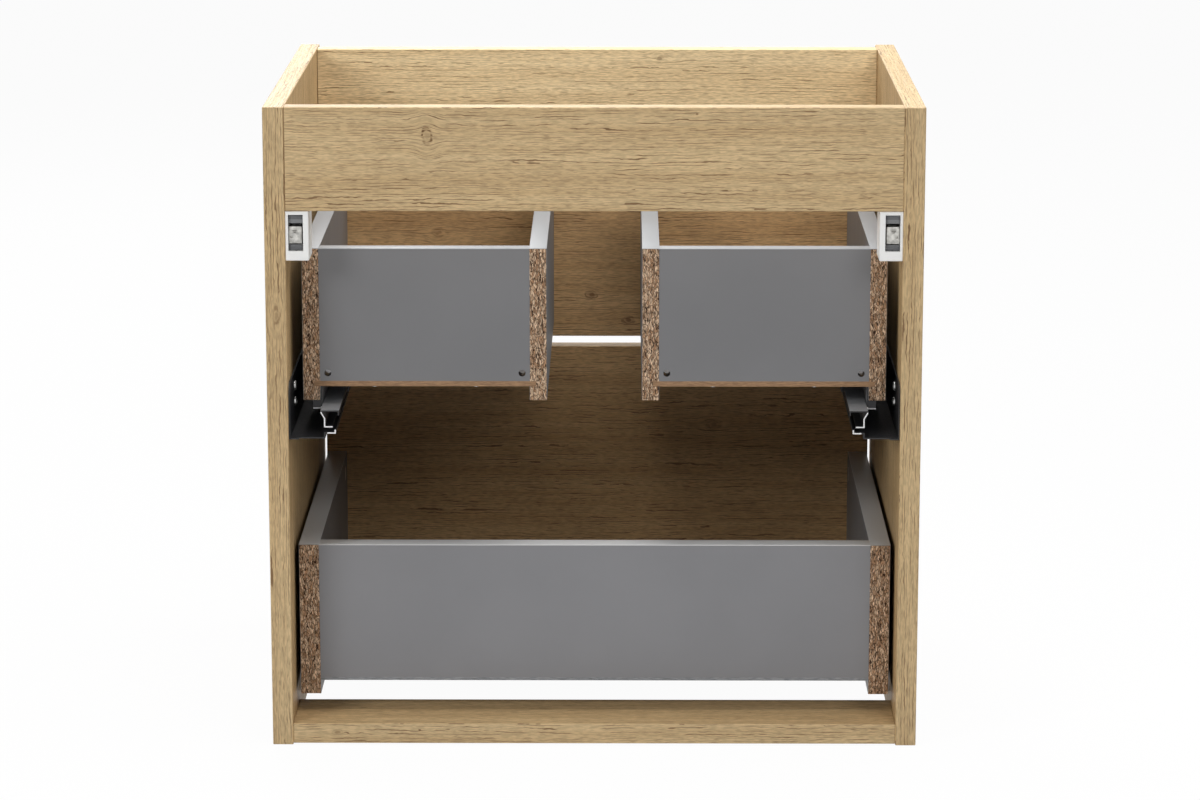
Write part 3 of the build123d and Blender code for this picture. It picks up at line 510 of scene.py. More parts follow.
def melamine(name, base, raw=None):
    """Grey foil, a little cloudy, with a pearl relief; painted shade darkens an upper back's holes.
    """
    finish = Finish(name)
    clouds = finish.grit(9, 3.0)
    tone = finish.vary(base, clouds, 0.2, 0.8, 0.95, 1.05)
    # Walls of holes, which face no axis and not rearwards, are darkened: painted shade
    if raw is not None:
        sideways, rearward, upright = (abs(part) for part in finish.split(finish.facing))
        slanted = finish.ease(finish.maths("MINIMUM", sideways, upright), 0.02, 0.04)
        tone = finish.blend(slanted * finish.ease(rearward, 0.5, 0.3), tone, raw)
    return finish.shade(
        Base_Color=tone,
        Roughness=finish.ease(clouds, 0.2, 0.8, 0.42, 0.52),
        Normal=finish.bump(finish.grit(900, 1.0), 0.05 * MM, 0.4),
    )


def chipboard(name, settings):
    """Pressed chips seen on end: flakes standing along the board's faces, painted shade in the
    gaps.
    """
    finish = Finish(name)
    ease = finish.ease
    jitter = finish.grit(420)
    shift = finish.grit(150, 1.0) * (2.2 * MM) + jitter * (0.7 * MM)
    drift = finish.join(shift, shift, jitter * (2.0 * MM))
    loose = finish.vector("ADD", finish.place, drift)[0]
    flake = (1 / settings.chip_width, 0.5 / settings.chip_width, 1 / settings.chip_length)
    splinter = tuple(2.2 * part for part in flake)
    kind = finish.split(finish.cells(flake, loose)["Color"])[0]
    shade = finish.split(finish.cells(splinter, loose)["Color"])[1]
    border = finish.cells(flake, loose, "DISTANCE_TO_EDGE")["Distance"]
    hollows = finish.grit((800, 300, 200), 2.0, 0.6, loose)
    tone = finish.blend(ease(kind, 0.1, 0.9), settings.chip_brown, settings.chip_pale)
    tone = finish.vary(tone, shade, 0.0, 1.0, 0.62, 1.15)
    # Flake borders and hollows sink the relief and take the dark colour: painted shade in the gaps
    gap = finish.maths("MAXIMUM", ease(border, 0.16, 0.03, 0.0, 0.75), ease(hollows, 0.55, 0.64))
    return finish.shade(
        Base_Color=finish.blend(gap, tone, settings.chip_dark),
        Roughness=ease(shade, 0.0, 1.0, 0.75, 0.95),
        Normal=finish.bump(kind * 0.6 - gap, 0.4 * MM, 0.6),
        Specular_IOR_Level=0.2,
    )


def bottom_board(name, face, edge):
    """Thin fibreboard with a foil on its faces and fine fibres on its cut edges."""
    finish = Finish(name)
    fibres = finish.grit((160, 160, 1600), 3.0)
    raw = finish.vary(edge, fibres, 0.3, 0.7, 0.62, 1.15)
    on_face = finish.facing_share("Z")
    return finish.shade(
        Base_Color=finish.blend(on_face, raw, face),
        Roughness=finish.choose(on_face, 0.85, 0.5),
        Normal=finish.bump(fibres, 0.1 * MM, 0.3),
    )


def sheet_metal(name, base, roughness):
    """Galvanised sheet: faint spangles, and fine rolling marks along the rails."""
    finish = Finish(name)
    spangle = finish.split(finish.cells((160, 110, 160))["Color"])[0]
    marks = finish.grit((1400, 22, 1400))
    return finish.shade(
        Base_Color=finish.vary(base, spangle, 0, 1, 0.88, 1.0),
        Metallic=0.85,
        Roughness=finish.ease(marks, 0.25, 0.75, roughness - 0.06, roughness + 0.1),
        Normal=finish.bump(marks, 0.03 * MM, 0.35),
    )


def coated_steel(name, coat, *bare_places):
    """Coated sheet with places in another colour.

    Each place is the axis that its surface faces, or None, its limits along X from the middle
    of the cabinet, its limits along Z, and its colour.
    """
    finish = Finish(name)
    x, _, z = finish.split(finish.place)
    reach = abs(x)
    peel = finish.grit(700)
    tone = finish.vary(coat, peel, 0.2, 0.8, 0.85, 1.1)
    for axis, x_limits, z_limits, bare in bare_places:
        inside = 1.0 if axis is None else finish.facing_share(axis)
        for value, (low, high) in ((reach, x_limits), (z, z_limits)):
            inside = (value > low) * (value < high) * inside
        tone = finish.blend(inside, tone, bare)
    return finish.shade(
        Base_Color=tone,
        Roughness=finish.ease(peel, 0.2, 0.8, 0.38, 0.5),
        Normal=finish.bump(peel, 0.04 * MM, 0.4),
    )


def plated(name, base, roughness, grain=600, dark=0.86):
    """Plated metal with a little unevenness in its shine, and darker patches."""
    finish = Finish(name)
    uneven = finish.grit(grain, 3.0)
    return finish.shade(
        Base_Color=finish.vary(base, uneven, 0.2, 0.8, dark, 1.0),
        Metallic=1.0,
        Roughness=finish.ease(uneven, 0.2, 0.8, roughness - 0.07, roughness + 0.1),
        Normal=finish.bump(uneven, 0.03 * MM, 0.4),
    )


def moulded(name, base, roughness):
    """Moulded plastic with a fine eroded grain."""
    finish = Finish(name)
    grain = finish.grit(1300)
    return finish.shade(
        Base_Color=finish.vary(base, finish.grit(40), 0.2, 0.8, 0.96, 1.02),
        Roughness=finish.ease(grain, 0.2, 0.8, roughness - 0.05, roughness + 0.08),
        Normal=finish.bump(grain, 0.04 * MM, 0.35),
    )


def beech(name, base):
    """Raw beech with short flecks, for the dowels."""
    finish = Finish(name)
    flecks = finish.grit((220, 900, 900))
    return finish.shade(
        Base_Color=finish.vary(base, flecks, 0.3, 0.7, 0.85, 1.08),
        Roughness=finish.ease(flecks, 0.3, 0.7, 0.6, 0.75),
        Normal=finish.bump(flecks, 0.05 * MM, 0.3),
    )


def start_modelling():
    """Leave edit mode and deselect everything, so that the next operator acts on new geometry."""
    if bpy.context.object and bpy.context.object.mode != "OBJECT":
        bpy.ops.object.mode_set(mode="OBJECT")
    bpy.ops.object.select_all(action="DESELECT")


def only(piece):
    """Make a piece the one that operators act on."""
    start_modelling()
    piece.select_set(True)
    bpy.context.view_layer.objects.active = piece


@contextmanager
def editing(piece):
    """Edit mode on one piece."""
    only(piece)
    bpy.ops.object.mode_set(mode="EDIT")
    bpy.ops.mesh.select_mode(type="FACE")
    yield
    bpy.ops.object.mode_set(mode="OBJECT")


def pick_faces(piece, test):
    """Select the faces that pass a test on their middle and their normal."""
    bpy.ops.mesh.select_all(action="DESELECT")
    shape = bmesh.from_edit_mesh(piece.data)
    for face in shape.faces:
        face.select_set(test(face.calc_center_median(), face.normal))
    bmesh.update_edit_mesh(piece.data)


def apply_modifier(piece, kind, **settings):
    """Add a modifier and apply it at once."""
    only(piece)
    modifier = piece.modifiers.new(kind.title(), kind)
    for key, value in settings.items():
        setattr(modifier, key, value)
    bpy.ops.object.modifier_apply(modifier=modifier.name)


def round_edges(piece, width, segments, degrees=30):
    """Round a piece's edges that are sharper than an angle."""
    sharp = {"limit_method": "ANGLE", "angle_limit": math.radians(degrees)}
    apply_modifier(piece, "BEVEL", width=width, segments=segments, **sharp)


def settle_new(name, scale=(1, 1, 1)):
    """Name and scale the piece just made, and move its place, turn and scale into its mesh."""
    piece = bpy.context.object
    piece.name = name
    piece.scale = scale
    only(piece)
    bpy.ops.object.transform_apply(location=True, rotation=True, scale=True)
    return piece


def add_block(name, corner, opposite):
    """Block between two opposite corners."""
    corner, opposite = Vector(corner), Vector(opposite)
    start_modelling()
    bpy.ops.mesh.primitive_cube_add(size=1, location=(corner + opposite) / 2)
    return settle_new(name, [abs(side) for side in opposite - corner])


def add_cylinder(name, radius, height, centre, sides=32, turn=(0, 0, 0)):
    """Cylinder about its centre, upright or turned."""
    start_modelling()
    bpy.ops.mesh.primitive_cylinder_add(
        vertices=sides, radius=radius, depth=height, location=centre, rotation=turn
    )
    return settle_new(name)


def cut(piece, tool, operation="DIFFERENCE"):
    """Cut a tool out of a piece, or join the two, and throw the tool away."""
    apply_modifier(piece, "BOOLEAN", object=tool, operation=operation, solver="EXACT")
    bpy.data.objects.remove(tool)


def cut_cross(piece, reach, width, depth):
    """Cross recess in the top of a piece that stands on the Z axis."""
    top = max(corner[2] for corner in piece.bound_box)
    for x, y in ((reach / 2, width / 2), (width / 2, reach / 2)):
        cut(piece, add_block("recess", (-x, -y, top - depth), (x, y, top + depth)))


def tidy_mesh(piece):
    """Merge doubles, turn the faces outwards and smooth the round ones."""
    with editing(piece):
        bpy.ops.mesh.select_all(action="SELECT")
        bpy.ops.mesh.remove_doubles(threshold=MERGE_LIMIT)
        bpy.ops.mesh.normals_make_consistent(inside=False)
    only(piece)
    bpy.ops.object.shade_smooth_by_angle(angle=SMOOTH_ANGLE)


def finish_piece(piece, body, slot, material, *replaced):
    """Give a new piece its material, its body and the CAD nodes that it stands for."""
    piece.data.materials.clear()
    piece.data.materials.append(material)
    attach(piece, body)
    if replaced:
        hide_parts(*replaced)


def solid_boxes(node):
    """Lowest and highest corner of each separate solid in a CAD node, in a steady order."""
    shape = bmesh.new()
    shape.from_mesh(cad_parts[node].data)
    bmesh.ops.remove_doubles(shape, verts=shape.verts, dist=2 * MERGE_LIMIT)
    boxes = []
    left = set(shape.verts)
    while left:
        queue = [left.pop()]
        points = []
        while queue:
            vertex = queue.pop()
            points.append(vertex.co.copy())
            for edge in vertex.link_edges:
                other = edge.other_vert(vertex)
                if other in left:
                    left.remove(other)
                    queue.append(other)
        boxes.append((Vector(map(min, *points)), Vector(map(max, *points))))
    shape.free()
    return sorted(boxes, key=lambda box: tuple(box[0]))


def side_middle(low, high, way):
    """Middle of the side of a box that looks one way along an axis."""
    return (low + high + way * (high - low)) / 2


def copies(name, model, places):
    """One piece of copies of a model on the Z axis; each place is a point and the way up."""
    made = []
    for foot, upward in places:
        twin = model.copy()
        twin.data = model.data.copy()
        bpy.context.collection.objects.link(twin)
        turn = upward.to_track_quat("Z", "Y").to_matrix().to_4x4()
        twin.matrix_world = Matrix.Translation(foot) @ turn
        made.append(twin)
    bpy.data.objects.remove(model)
    start_modelling()
    for twin in made:
        twin.select_set(True)
    bpy.context.view_layer.objects.active = made[0]
    bpy.ops.object.join()
    return settle_new(name)


def drawer_of(node):
    """Body of the drawer that a node belongs to."""
    return node.split("_")[0] + "_drawer"


class VANITY_OT_oak(Operator):
    """Oak decor on the side panels, the rails and the drawer fronts"""

    bl_idname = "vanity.oak"
    bl_label = "Oak boards"

    def execute(self, context):
        settings = context.scene.vanity_oak
        rail_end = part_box("top_rear_rail")[1].x
        front_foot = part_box("upper_front")[0].z
        # The fronts' and the top front rail's lighter tints are painted light; the rail's is cooler
        # too
        light, lightest = (1.1, 1.1, 1.1), (1.42, 1.5, 1.6)
        # Warmer, darker tints on the faces that look into the cabinet: painted shade
        left_painted_shade = ((1, 0, 0), settings.panel_foil)
        right_painted_shade = ((-1, 0, 0), settings.panel_foil)
        rail_top_painted_shade = ((0, 0, 1), settings.panel_foil)
        front_painted_shade = ((0, 1, 0), settings.inner_foil)
        left_knots = [Knot(0.33, 0.04, *ROUND_KNOT)]
        right_knots = [Knot(0.409, 0.2905, *EDGE_KNOT), Knot(0.12, -0.1, *ROUND_KNOT)]
        rear_knots = [Knot(0.151, 0.5743, *EYE), Knot(-0.093, 0.594, *SPECK)]
        front_knots = [Knot(-0.0626, 0.5905, *PIN_KNOT)]
        bottom_knots = [Knot(0.24, 0.012, *PIN_KNOT)]
        upper_knots = [
            Knot(0.16, 0.41, *ROUND_KNOT),
            Knot(0.006, front_foot + 43 * MM, *DARK_KNOT),
            Knot(-0.032, front_foot + 17 * MM, *DARK_KNOT),
        ]
        lower_knots = [Knot(-0.12, 0.21, *ROUND_KNOT)]
        boards = {
            "left_side_panel": Board("Z", 3.1, left_knots, inside=left_painted_shade),
            "right_side_panel": Board("Z", 5.7, right_knots, inside=right_painted_shade),
            "top_rear_rail": Board("X", 8.3, rear_knots, seam=rail_end),
            "top_front_rail": Board("X", 9.4, front_knots, lightest, rail_end),
            "bottom_rear_rail": Board("X", 11.9, bottom_knots, seam=rail_end, inside=rail_top_painted_shade),
            "upper_front": Board("X", 14.2, upper_knots, light, inside=front_painted_shade),
            "lower_front": Board("X", 17.6, lower_knots, light, inside=front_painted_shade),
        }
        for name, board in boards.items():
            wear(oak("oak_" + name, settings, board), name)
        return {"FINISHED"}


class VANITY_OT_drawer_boards(Operator):
    """Grey melamine on the drawer boards, and foil and raw edges on the bottom panels"""

    bl_idname = "vanity.drawer_boards"
    bl_label = "Drawer boards"

    def execute(self, context):
        settings = context.scene.vanity_drawers
        wear(melamine("grey_melamine", settings.melamine), *BOX_SIDES)
        wear(melamine("holed_melamine", settings.melamine, settings.hole), *UPPER_BACKS)
        # The lower back wears the lighter copy: painted light
        wear(melamine("pale_melamine", settings.pale_melamine), "lower_back")
        wear(bottom_board("brown_bottom", settings.melamine, settings.fibre), *UPPER_BOTTOMS)
        wear(bottom_board("grey_bottom", settings.melamine, settings.band), "lower_bottom")
        return {"FINISHED"}


class VANITY_OT_raw_ends(Operator):
    """Rough chipboard on the rear ends of the drawer sides, notched round the upper bottoms"""

    bl_idname = "vanity.raw_ends"
    bl_label = "Raw chipboard ends"

    def execute(self, context):
        settings = context.scene.vanity_drawers
        rough = settings.chip_relief
        material = chipboard("raw_chipboard", settings)
        relief = bpy.data.textures.new("chip_relief", "CLOUDS")
        relief.noise_scale = settings.chip_length
        relief.noise_depth = 2
        for node in BOX_SIDES:
            end = self.add_end(node, settings)
            if node in UPPER_SIDES:
                self.cut_notch(end, "_".join(node.split("_")[:2]) + "_bottom")
            apply_modifier(end, "DISPLACE", texture=relief, texture_coords="LOCAL", strength=rough)
            apply_modifier(end, "SOLIDIFY", thickness=1.5 * rough, offset=-1)
            tidy_mesh(end)
            finish_piece(end, drawer_of(node), "grey_melamine", material)
        return {"FINISHED"}

    def add_end(self, node, settings):
        """Flat grid on the rear end of a drawer side, inside its foil."""
        low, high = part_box(node)
        width = high.x - low.x - 2 * settings.foil
        height = high.z - low.z - settings.foil
        middle = side_middle(low, high, Vector((0, 1, 0)))
        start_modelling()
        bpy.ops.mesh.primitive_grid_add(
            x_subdivisions=round(width / GRID_CELL),
            y_subdivisions=round(height / GRID_CELL),
            size=1,
            location=middle + Vector((0, 0.6 * settings.chip_relief, -settings.foil / 2)),
            rotation=(math.radians(-90), 0, 0),
        )
        return settle_new("raw_end_" + node, (width, height, 1))

    def cut_notch(self, end, bottom):
        """Notch in a raw end round the tongue of a bottom panel."""
        low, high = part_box(bottom)

        def in_notch(middle, normal):
            return low.x < middle.x < high.x and low.z < middle.z < high.z

        with editing(end):
            for limit in (low, high):
                for across in ((1, 0, 0), (0, 0, 1)):
                    bpy.ops.mesh.select_all(action="SELECT")
                    bpy.ops.mesh.bisect(plane_co=limit, plane_no=across)
            pick_faces(end, in_notch)
            bpy.ops.mesh.delete(type="FACE")


class VANITY_OT_edge_bands(Operator):
    """Light edge bands on the drawer sides' and backs' top edges, lower ones paler as painted light
    """

    bl_idname = "vanity.edge_bands"
    bl_label = "Edge bands"

    def execute(self, context):
        settings = context.scene.vanity_drawers
        grey = melamine("grey_edge_band", settings.band)
        pale = melamine("pale_edge_band", settings.pale_band)
        overlap = Vector((0.05 * MM, 0, 0))
        lift = Vector((0, 0, settings.band_lift))
        for node in BOX_SIDES + BOX_BACKS:
            low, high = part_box(node)
            flush = overlap if node in BOX_SIDES else overlap.yxz
            foot = Vector((low.x, low.y, high.z - settings.band_height))
            band = add_block("edge_band_" + node, foot + lift - flush, high + lift + flush)
            round_edges(band, settings.band_round, 3)
            tidy_mesh(band)
            # The lower drawer's bands take the paler copy: painted light
            material = pale if node.startswith("lower") else grey
            finish_piece(band, drawer_of(node), "grey_melamine", material)
        return {"FINISHED"}


class VANITY_OT_screws(Operator):
    """Pan-head screws with cross recesses, in place of the plain ones"""

    bl_idname = "vanity.screws"
    bl_label = "Screws"

    def execute(self, context):
        settings = context.scene.vanity_fittings
        material = plated("plated_screw", settings.plated, 0.28)
        boxes = solid_boxes("runner_screws")
        screws = self.add_screws("runner_pan_screws", boxes, settings, **RUNNER_SCREW)
        finish_piece(screws, "carcass", "plated_screws", material, "runner_screws")
        for drawer in DRAWERS:
            node = f"{drawer}_drawer_screws"
            groups = {}
            for low, high in solid_boxes(node):
                groups.setdefault(round((high.z - low.z) / MM, 1), []).append((low, high))
            for index, size in enumerate(sorted(groups)):
                name = f"{drawer}_pan_screws_{index + 1}"
                screws = self.add_screws(name, groups[size], settings, **DRAWER_SCREW)
                finish_piece(screws, f"{drawer}_drawer", "plated_screws", material, node)
        return {"FINISHED"}

    def add_screws(self, name, boxes, settings, axis, head_height, shank_radius, tip):
        """One piece of screws of one length."""
        size = boxes[0][1] - boxes[0][0]
        head = (size[(axis + 1) % 3] / 2, head_height)
        shank = (shank_radius, size[axis] - head_height)
        places = []
        for low, high in boxes:
            outward = Vector()
            outward[axis] = -1 if low[axis] > 0 else 1
            places.append((side_middle(low, high, outward) - outward * head_height, outward))
        return copies(name, self.model(settings, head, shank, tip), places)

    def model(self, settings, head, shank, tip):
        """Screw on the Z axis, with its bearing face at zero.

        Head and shank are each a radius and a height, and the tip is part of the shank's height.
        """
        radius, height = head
        rounding, cross_reach, cross_width = 0.55 * height, 1.25 * radius, 0.28 * radius
        tip_share = 0.25
        screw = add_cylinder("screw", radius, height, (0, 0, height / 2))
        with editing(screw):
            pick_faces(screw, lambda middle, normal: normal.z > 0.9)
            bpy.ops.mesh.bevel(offset=rounding, segments=4, profile=0.5)
            pick_faces(screw, lambda middle, normal: normal.z < -0.9)
            bpy.ops.mesh.inset(thickness=radius - shank[0])
            for drop in (tip - shank[1], -tip):
                bpy.ops.mesh.extrude_region_move(TRANSFORM_OT_translate={"value": (0, 0, drop)})
            bpy.ops.transform.resize(value=(tip_share, tip_share, 1))
        cut_cross(screw, cross_reach, cross_width, settings.recess)
        tidy_mesh(screw)
        return screw


class VANITY_OT_cam_locks(Operator):
    """Cast cam locks with a rim and a cross recess, in place of the plain ones"""

    bl_idname = "vanity.cam_locks"
    bl_label = "Cam locks"

    def execute(self, context):
        settings = context.scene.vanity_fittings
        material = plated("cast_zinc", settings.plated, 0.36)
        for body in GROUPS:
            node = body + "_cam_locks"
            places = []
            for low, high in solid_boxes(node):
                way = self.mouth(body, low, high)
                places.append((side_middle(low, high, way), way))
            locks = copies(body + "_cam_discs", self.model(settings), places)
            finish_piece(locks, body, "zinc_fittings", material, node)
        return {"FINISHED"}

    def model(self, settings):
        """Lock on the Z axis with its face at zero."""
        radius, rim, rim_slope, dish = 7.4 * MM, 1.1 * MM, 0.2 * MM, 0.4 * MM
        cross_reach, cross_width = 6.4 * MM, 1.5 * MM
        lock = add_cylinder("cam", radius, LOCK_HEIGHT, (0, 0, -LOCK_HEIGHT / 2), 48)
        with editing(lock):
            pick_faces(lock, lambda middle, normal: normal.z > 0.9)
            bpy.ops.mesh.inset(thickness=rim)
            bpy.ops.mesh.inset(thickness=rim_slope, depth=-dish)
        cut_cross(lock, cross_reach, cross_width, 2 * settings.recess)
        round_edges(lock, 0.15 * MM, 2, 40)
        tidy_mesh(lock)
        return lock

    def mouth(self, body, low, high):
        """Way that a lock's face looks: down or forwards in the carcass, along X in the drawers."""
        if body == "carcass":
            upright = high.z - low.z < LOCK_HEIGHT + MM
            return Vector((0, 0, -1)) if upright else Vector((0, -1, 0))
        way = Vector((1, 0, 0))
        if body == "upper_drawer":
            # The right-hand side of each upper box has its locks the other way round
            for side_low, side_high in map(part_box, UPPER_SIDES[1::2]):
                if side_low.x < (low.x + high.x) / 2 < side_high.x:
                    way = -way
        return way


class VANITY_OT_runners(Operator):
    """Coated and galvanised rails, cages and spacers of the drawer runners"""

    bl_idname = "vanity.runners"
    bl_label = "Runners"

    def execute(self, context):
        settings = context.scene.vanity_fittings
        zinc = sheet_metal("galvanised_sheet", settings.zinc, 0.38)
        nylon = moulded("dark_nylon", settings.nylon, 0.45)
        for rail, places in self.bare_places(settings).items():
            coated = coated_steel(f"coated_{rail}_rail", settings.black, *places)
            for hand in HANDS:
                wear(coated, f"upper_{hand}_{rail}_rail")
                wear(zinc, f"lower_{hand}_{rail}_rail")
        for drawer in DRAWERS:
            wear(nylon, f"{drawer}_lower_cages", f"{drawer}_upper_cages")
        wear(nylon, "upper_runner_spacers")
        return {"FINISHED"}

    def bare_places(self, settings):
        """Bare ends, bright as a painted highlight, and bare plates of the upper runners' rails."""
        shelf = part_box("upper_right_cabinet_rail")[0].x
        plate_low, plate_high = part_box("upper_right_middle_rail")
        rail_low, rail_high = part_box("upper_right_drawer_rail")
        web = rail_high.x - 9 * MM
        # The places in the cut colour are painted highlights on the bare cut ends
        return {
            "cabinet": [("Y", (shelf, shelf + 8 * MM), ANYWHERE, settings.cut)],
            "middle": [
                ("Y", (plate_low.x + 3 * MM, 1), (0, plate_high.z - 1.5 * MM), settings.cut),
                ("Z", ANYWHERE, (plate_high.z - 0.5 * MM, 1), settings.bare),
            ],
            "drawer": [
                ("Y", (web, 1), (rail_low.z + 0.5 * MM, rail_low.z + 3 * MM), settings.cut),
                ("X", (web, web + 1.5 * MM), ANYWHERE, settings.bare),
            ],
        }


class VANITY_OT_hangers(Operator):
    """Wall hangers: white housings, dark carriers, adjusting screws and cast claws"""

    bl_idname = "vanity.hangers"
    bl_label = "Wall hangers"

    def execute(self, context):
        settings = context.scene.vanity_fittings
        lug_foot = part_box("left_hanger_claw")[1].z - 2.5 * MM
        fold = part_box("left_hanger_carrier")[1].z - settings.guard_fold
        # Paler upper end of each carrier and lower half of each upper guard's flap: painted light
        lug = (None, ANYWHERE, (lug_foot, 1), settings.lug)
        flap = (None, ANYWHERE, (lug_foot, fold), settings.guard_painted_light)
        white = moulded("white_plastic", settings.plastic, 0.4)
        carrier = coated_steel("carrier_steel", settings.carrier, lug)
        guard = coated_steel("guard_steel", settings.guard, flap)
        steel = plated("adjuster_steel", settings.plated, 0.3)
        nickel = plated("cast_nickel", settings.nickel, 0.34, grain=260, dark=0.45)
        for hand in HANDS:
            wear(white, f"{hand}_hanger_housing")
            wear(carrier, f"{hand}_hanger_carrier")
            wear(steel, f"{hand}_depth_screw", f"{hand}_height_screw")
            self.make_claw(hand, settings, nickel)
            self.make_guards(hand, guard)
        return {"FINISHED"}

    def across_claw(self, low, high):
        """A claw's outer and inner limit along X, and the way from the cabinet's middle to it."""
        inner, outer = sorted((low.x, high.x), key=abs)
        return outer, inner, math.copysign(1, outer)

    def make_guards(self, hand, material):
        """Two bent plates on a carrier's lugs, which cover the window over and under the claw."""
        flap_inset, arm_inset, overhang = 0.1 * MM, 5.8 * MM, 0.8 * MM
        clearance, sheet, bend = 0.2 * MM, 1.2 * MM, 0.3 * MM
        lug_overlap, upper_arm, lower_arm = 1 * MM, 1.8 * MM, 0.7 * MM
        upper_gap, lower_gap, lower_drop = 3.2 * MM, 0.4 * MM, 5.9 * MM
        low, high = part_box(f"{hand}_hanger_claw")
        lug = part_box(f"{hand}_hanger_carrier")[1]
        outer, inner, side = self.across_claw(low, high)
        flap_x, arm_x = outer - side * flap_inset, outer - side * arm_inset
        inner_x = inner - side * overhang
        arm_front, flap_front = lug.y - lug_overlap, high.y + clearance
        rear = flap_front + sheet
        top, foot = lug.z - lug_overlap, low.z - lower_drop
        for name, arm_z, flap_z in (
            ("upper", (top - upper_arm, top), (high.z + upper_gap, top)),
            ("lower", (foot, foot + lower_arm), (foot, low.z - lower_gap)),
        ):
            arm_end = (inner_x, rear - bend, arm_z[1])
            plate = add_block(f"{hand}_{name}_guard", (arm_x, arm_front, arm_z[0]), arm_end)
            flap = add_block("flap", (flap_x, flap_front, flap_z[0]), (inner_x, rear, flap_z[1]))
            cut(plate, flap, "UNION")
            round_edges(plate, 0.15 * MM, 2)
            tidy_mesh(plate)
            finish_piece(plate, f"{hand}_carrier", "dark_steel", material)

    def make_claw(self, hand, settings, material):
        """Cast claw: a notched block with a nut at its front, rounded edges and a marked face."""
        nut_width, nut_depth, nut_height = 6 * MM, 9.3 * MM, 9 * MM
        lip, notch_width, notch_height = 4.4 * MM, 4.6 * MM, 9 * MM
        bore_radius, bore_length = 2.1 * MM, 40 * MM
        dimple_radius, dimple_length = 1.3 * MM, 6 * MM
        dimple_inset, dimple_rise = 2.4 * MM, 6.5 * MM
        groove_depth, groove_width = 3 * MM, 1 * MM
        grooves = ((3.4 * MM, 7.6 * MM, 11.6 * MM), (4.4 * MM, 6.6 * MM, 10.2 * MM))
        node = f"{hand}_hanger_claw"
        low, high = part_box(node)
        outer, inner, side = self.across_claw(low, high)
        middle_z = (low.z + high.z) / 2
        notch_rear = high.y - lip
        screw = side_middle(*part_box(f"{hand}_height_screw"), Vector())

        claw = add_block(f"{hand}_cast_claw", (low.x, low.y + nut_depth, low.z), high)
        notch_start = (low.x - MM, notch_rear - notch_width, low.z - MM)
        notch_end = (high.x + MM, notch_rear, low.z + notch_height)
        cut(claw, add_block("notch", notch_start, notch_end))
        nut_start = (inner, low.y, middle_z - nut_height / 2)
        nut_end = (inner + side * nut_width, low.y + nut_depth + MM, middle_z + nut_height / 2)
        cut(claw, add_block("nut", nut_start, nut_end), "UNION")
        cut(claw, add_cylinder("bore", bore_radius, bore_length, (screw.x, screw.y, middle_z)))
        round_edges(claw, settings.claw_round, 3, 50)
        mark = (outer - side * dimple_inset, high.y, low.z + dimple_rise)
        lying = (math.radians(90), 0, 0)
        cut(claw, add_cylinder("dimple", dimple_radius, dimple_length, mark, turn=lying))
        for start, end, rise in grooves:
            groove_start = (outer - side * start, high.y - groove_depth, low.z + rise)
            groove_end = (outer - side * end, high.y + MM, low.z + rise + groove_width)
            cut(claw, add_block("groove", groove_start, groove_end))
        tidy_mesh(claw)
        finish_piece(claw, f"{hand}_claw", "nickel", material, node)


class VANITY_OT_hidden_fittings(Operator):
    """Dowels and cam bolts inside the boards"""

    bl_idname = "vanity.hidden_fittings"
    bl_label = "Dowels and bolts"

    def execute(self, context):
        settings = context.scene.vanity_fittings
        wood = beech("raw_beech", settings.beech)
        steel = plated("bolt_steel", settings.plated, 0.32)
        for group in GROUPS:
            wear(wood, group + "_dowels")
            wear(steel, group + "_cam_bolts")
        return {"FINISHED"}


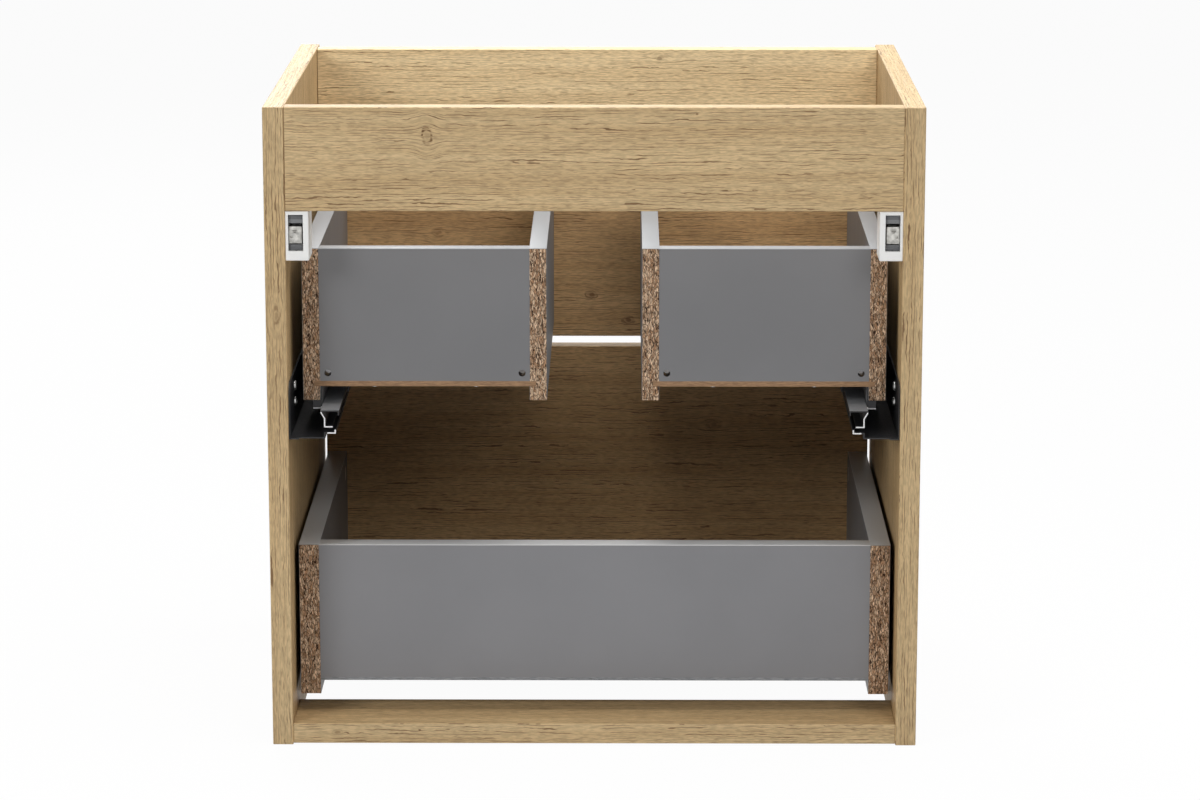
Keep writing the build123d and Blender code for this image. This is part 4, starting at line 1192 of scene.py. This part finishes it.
class VANITY_OT_stage(Operator):
    """Pale floor, soft lamps and the camera"""

    bl_idname = "vanity.stage"
    bl_label = "Stage"

    def execute(self, context):
        settings = context.scene.vanity_stage
        self.make_floor(settings)
        self.make_sky(context.scene, settings)
        middle = (cad_box[0] + cad_box[1]) / 2
        for name, (place, size) in LAMPS.items():
            lamp = bpy.data.lights.new(name, "AREA")
            lamp.size = size
            lamp.energy = getattr(settings, name + "_power")
            self.aim(name, lamp, place, middle)
        lens = bpy.data.cameras.new("camera")
        lens.lens = settings.lens
        lens.sensor_width = SENSOR_WIDTH
        camera = self.aim("camera", lens, settings.camera_place, Vector(settings.camera_aim))
        context.scene.camera = camera
        context.scene.view_settings.view_transform = "Standard"
        return {"FINISHED"}

    def aim(self, name, data, place, target):
        """Put a lamp or the camera at a place, and turn it towards a point."""
        holder = bpy.data.objects.new(name, data)
        holder.location = place
        holder.rotation_euler = (target - Vector(place)).to_track_quat("-Z", "Y").to_euler()
        bpy.context.collection.objects.link(holder)
        return holder

    def show_white(self, tree, plain, glow, amount, output):
        """Lay a glow over a shader, for rays from the camera and from shiny or clear surfaces."""
        rays = tree.node("ShaderNodeLightPath", {})
        seen = tree.maths("MAXIMUM", rays["Is Camera Ray"], rays["Is Glossy Ray"])
        seen = tree.maths("MAXIMUM", seen, rays["Is Transmission Ray"])
        mix = tree.node("ShaderNodeMixShader", {0: seen * amount, 1: plain[0], 2: glow[0]})
        tree.plug(tree.nodes[output].inputs["Surface"], mix[0])

    def make_floor(self, settings):
        """Wide pale floor that keeps the cabinet's shadow."""
        start_modelling()
        bpy.ops.mesh.primitive_plane_add(size=FLOOR_SIZE, location=(0, 0, -settings.floor_gap))
        floor = bpy.context.object
        floor.name = "floor"
        finish = Finish("pale_floor")
        finish.shade(Base_Color=settings.floor, Roughness=0.9, Specular_IOR_Level=0.0)
        glow = finish.node("ShaderNodeEmission", {"Color": WHITE, "Strength": 1.0})
        plain = finish.shader.outputs
        self.show_white(finish, plain, glow, settings.floor_glow, "Material Output")
        floor.data.materials.append(finish.material)

    def make_sky(self, scene, settings):
        """Even light from all round, and a white background."""
        scene.world = bpy.data.worlds.new("studio")
        scene.world.use_nodes = True
        sky = Nodes(scene.world.node_tree)
        even = sky.nodes["Background"]
        sky.plug(even.inputs["Color"], WHITE)
        sky.plug(even.inputs["Strength"], settings.sky)
        white = sky.node("ShaderNodeBackground", {"Color": WHITE})
        self.show_white(sky, even.outputs, white, 1.0, "World Output")


SETTINGS = {
    "vanity_oak": OakSettings,
    "vanity_drawers": DrawerSettings,
    "vanity_fittings": FittingSettings,
    "vanity_stage": StageSettings,
}
OPERATORS = (
    VANITY_OT_oak,
    VANITY_OT_drawer_boards,
    VANITY_OT_raw_ends,
    VANITY_OT_edge_bands,
    VANITY_OT_screws,
    VANITY_OT_cam_locks,
    VANITY_OT_runners,
    VANITY_OT_hangers,
    VANITY_OT_hidden_fittings,
    VANITY_OT_stage,
)


class VANITY_PT_sidebar(Panel):
    """Lists the steps that dress the cabinet, and what can be set for them"""

    bl_label = "Vanity base cabinet"
    bl_idname = "VANITY_PT_sidebar"
    bl_space_type = "VIEW_3D"
    bl_region_type = "UI"
    bl_category = "Vanity"

    def draw(self, context):
        for step in OPERATORS:
            self.layout.operator(step.bl_idname)
        for name in SETTINGS:
            group = getattr(context.scene, name)
            box = self.layout.box()
            for key in group.__annotations__:
                box.prop(group, key)


CLASSES = (*SETTINGS.values(), *OPERATORS, VANITY_PT_sidebar)


def register():
    for cls in CLASSES:
        bpy.utils.register_class(cls)
    for name, group in SETTINGS.items():
        setattr(bpy.types.Scene, name, PointerProperty(type=group))


def unregister():
    for name in SETTINGS:
        delattr(bpy.types.Scene, name)
    for cls in reversed(CLASSES):
        bpy.utils.unregister_class(cls)


def main():
    register()
    bpy.ops.vanity.oak()
    bpy.ops.vanity.drawer_boards()
    bpy.ops.vanity.raw_ends()
    bpy.ops.vanity.edge_bands()
    bpy.ops.vanity.screws()
    bpy.ops.vanity.cam_locks()
    bpy.ops.vanity.runners()
    bpy.ops.vanity.hangers()
    bpy.ops.vanity.hidden_fittings()
    bpy.ops.vanity.stage()


if __name__ == "__main__":
    main()
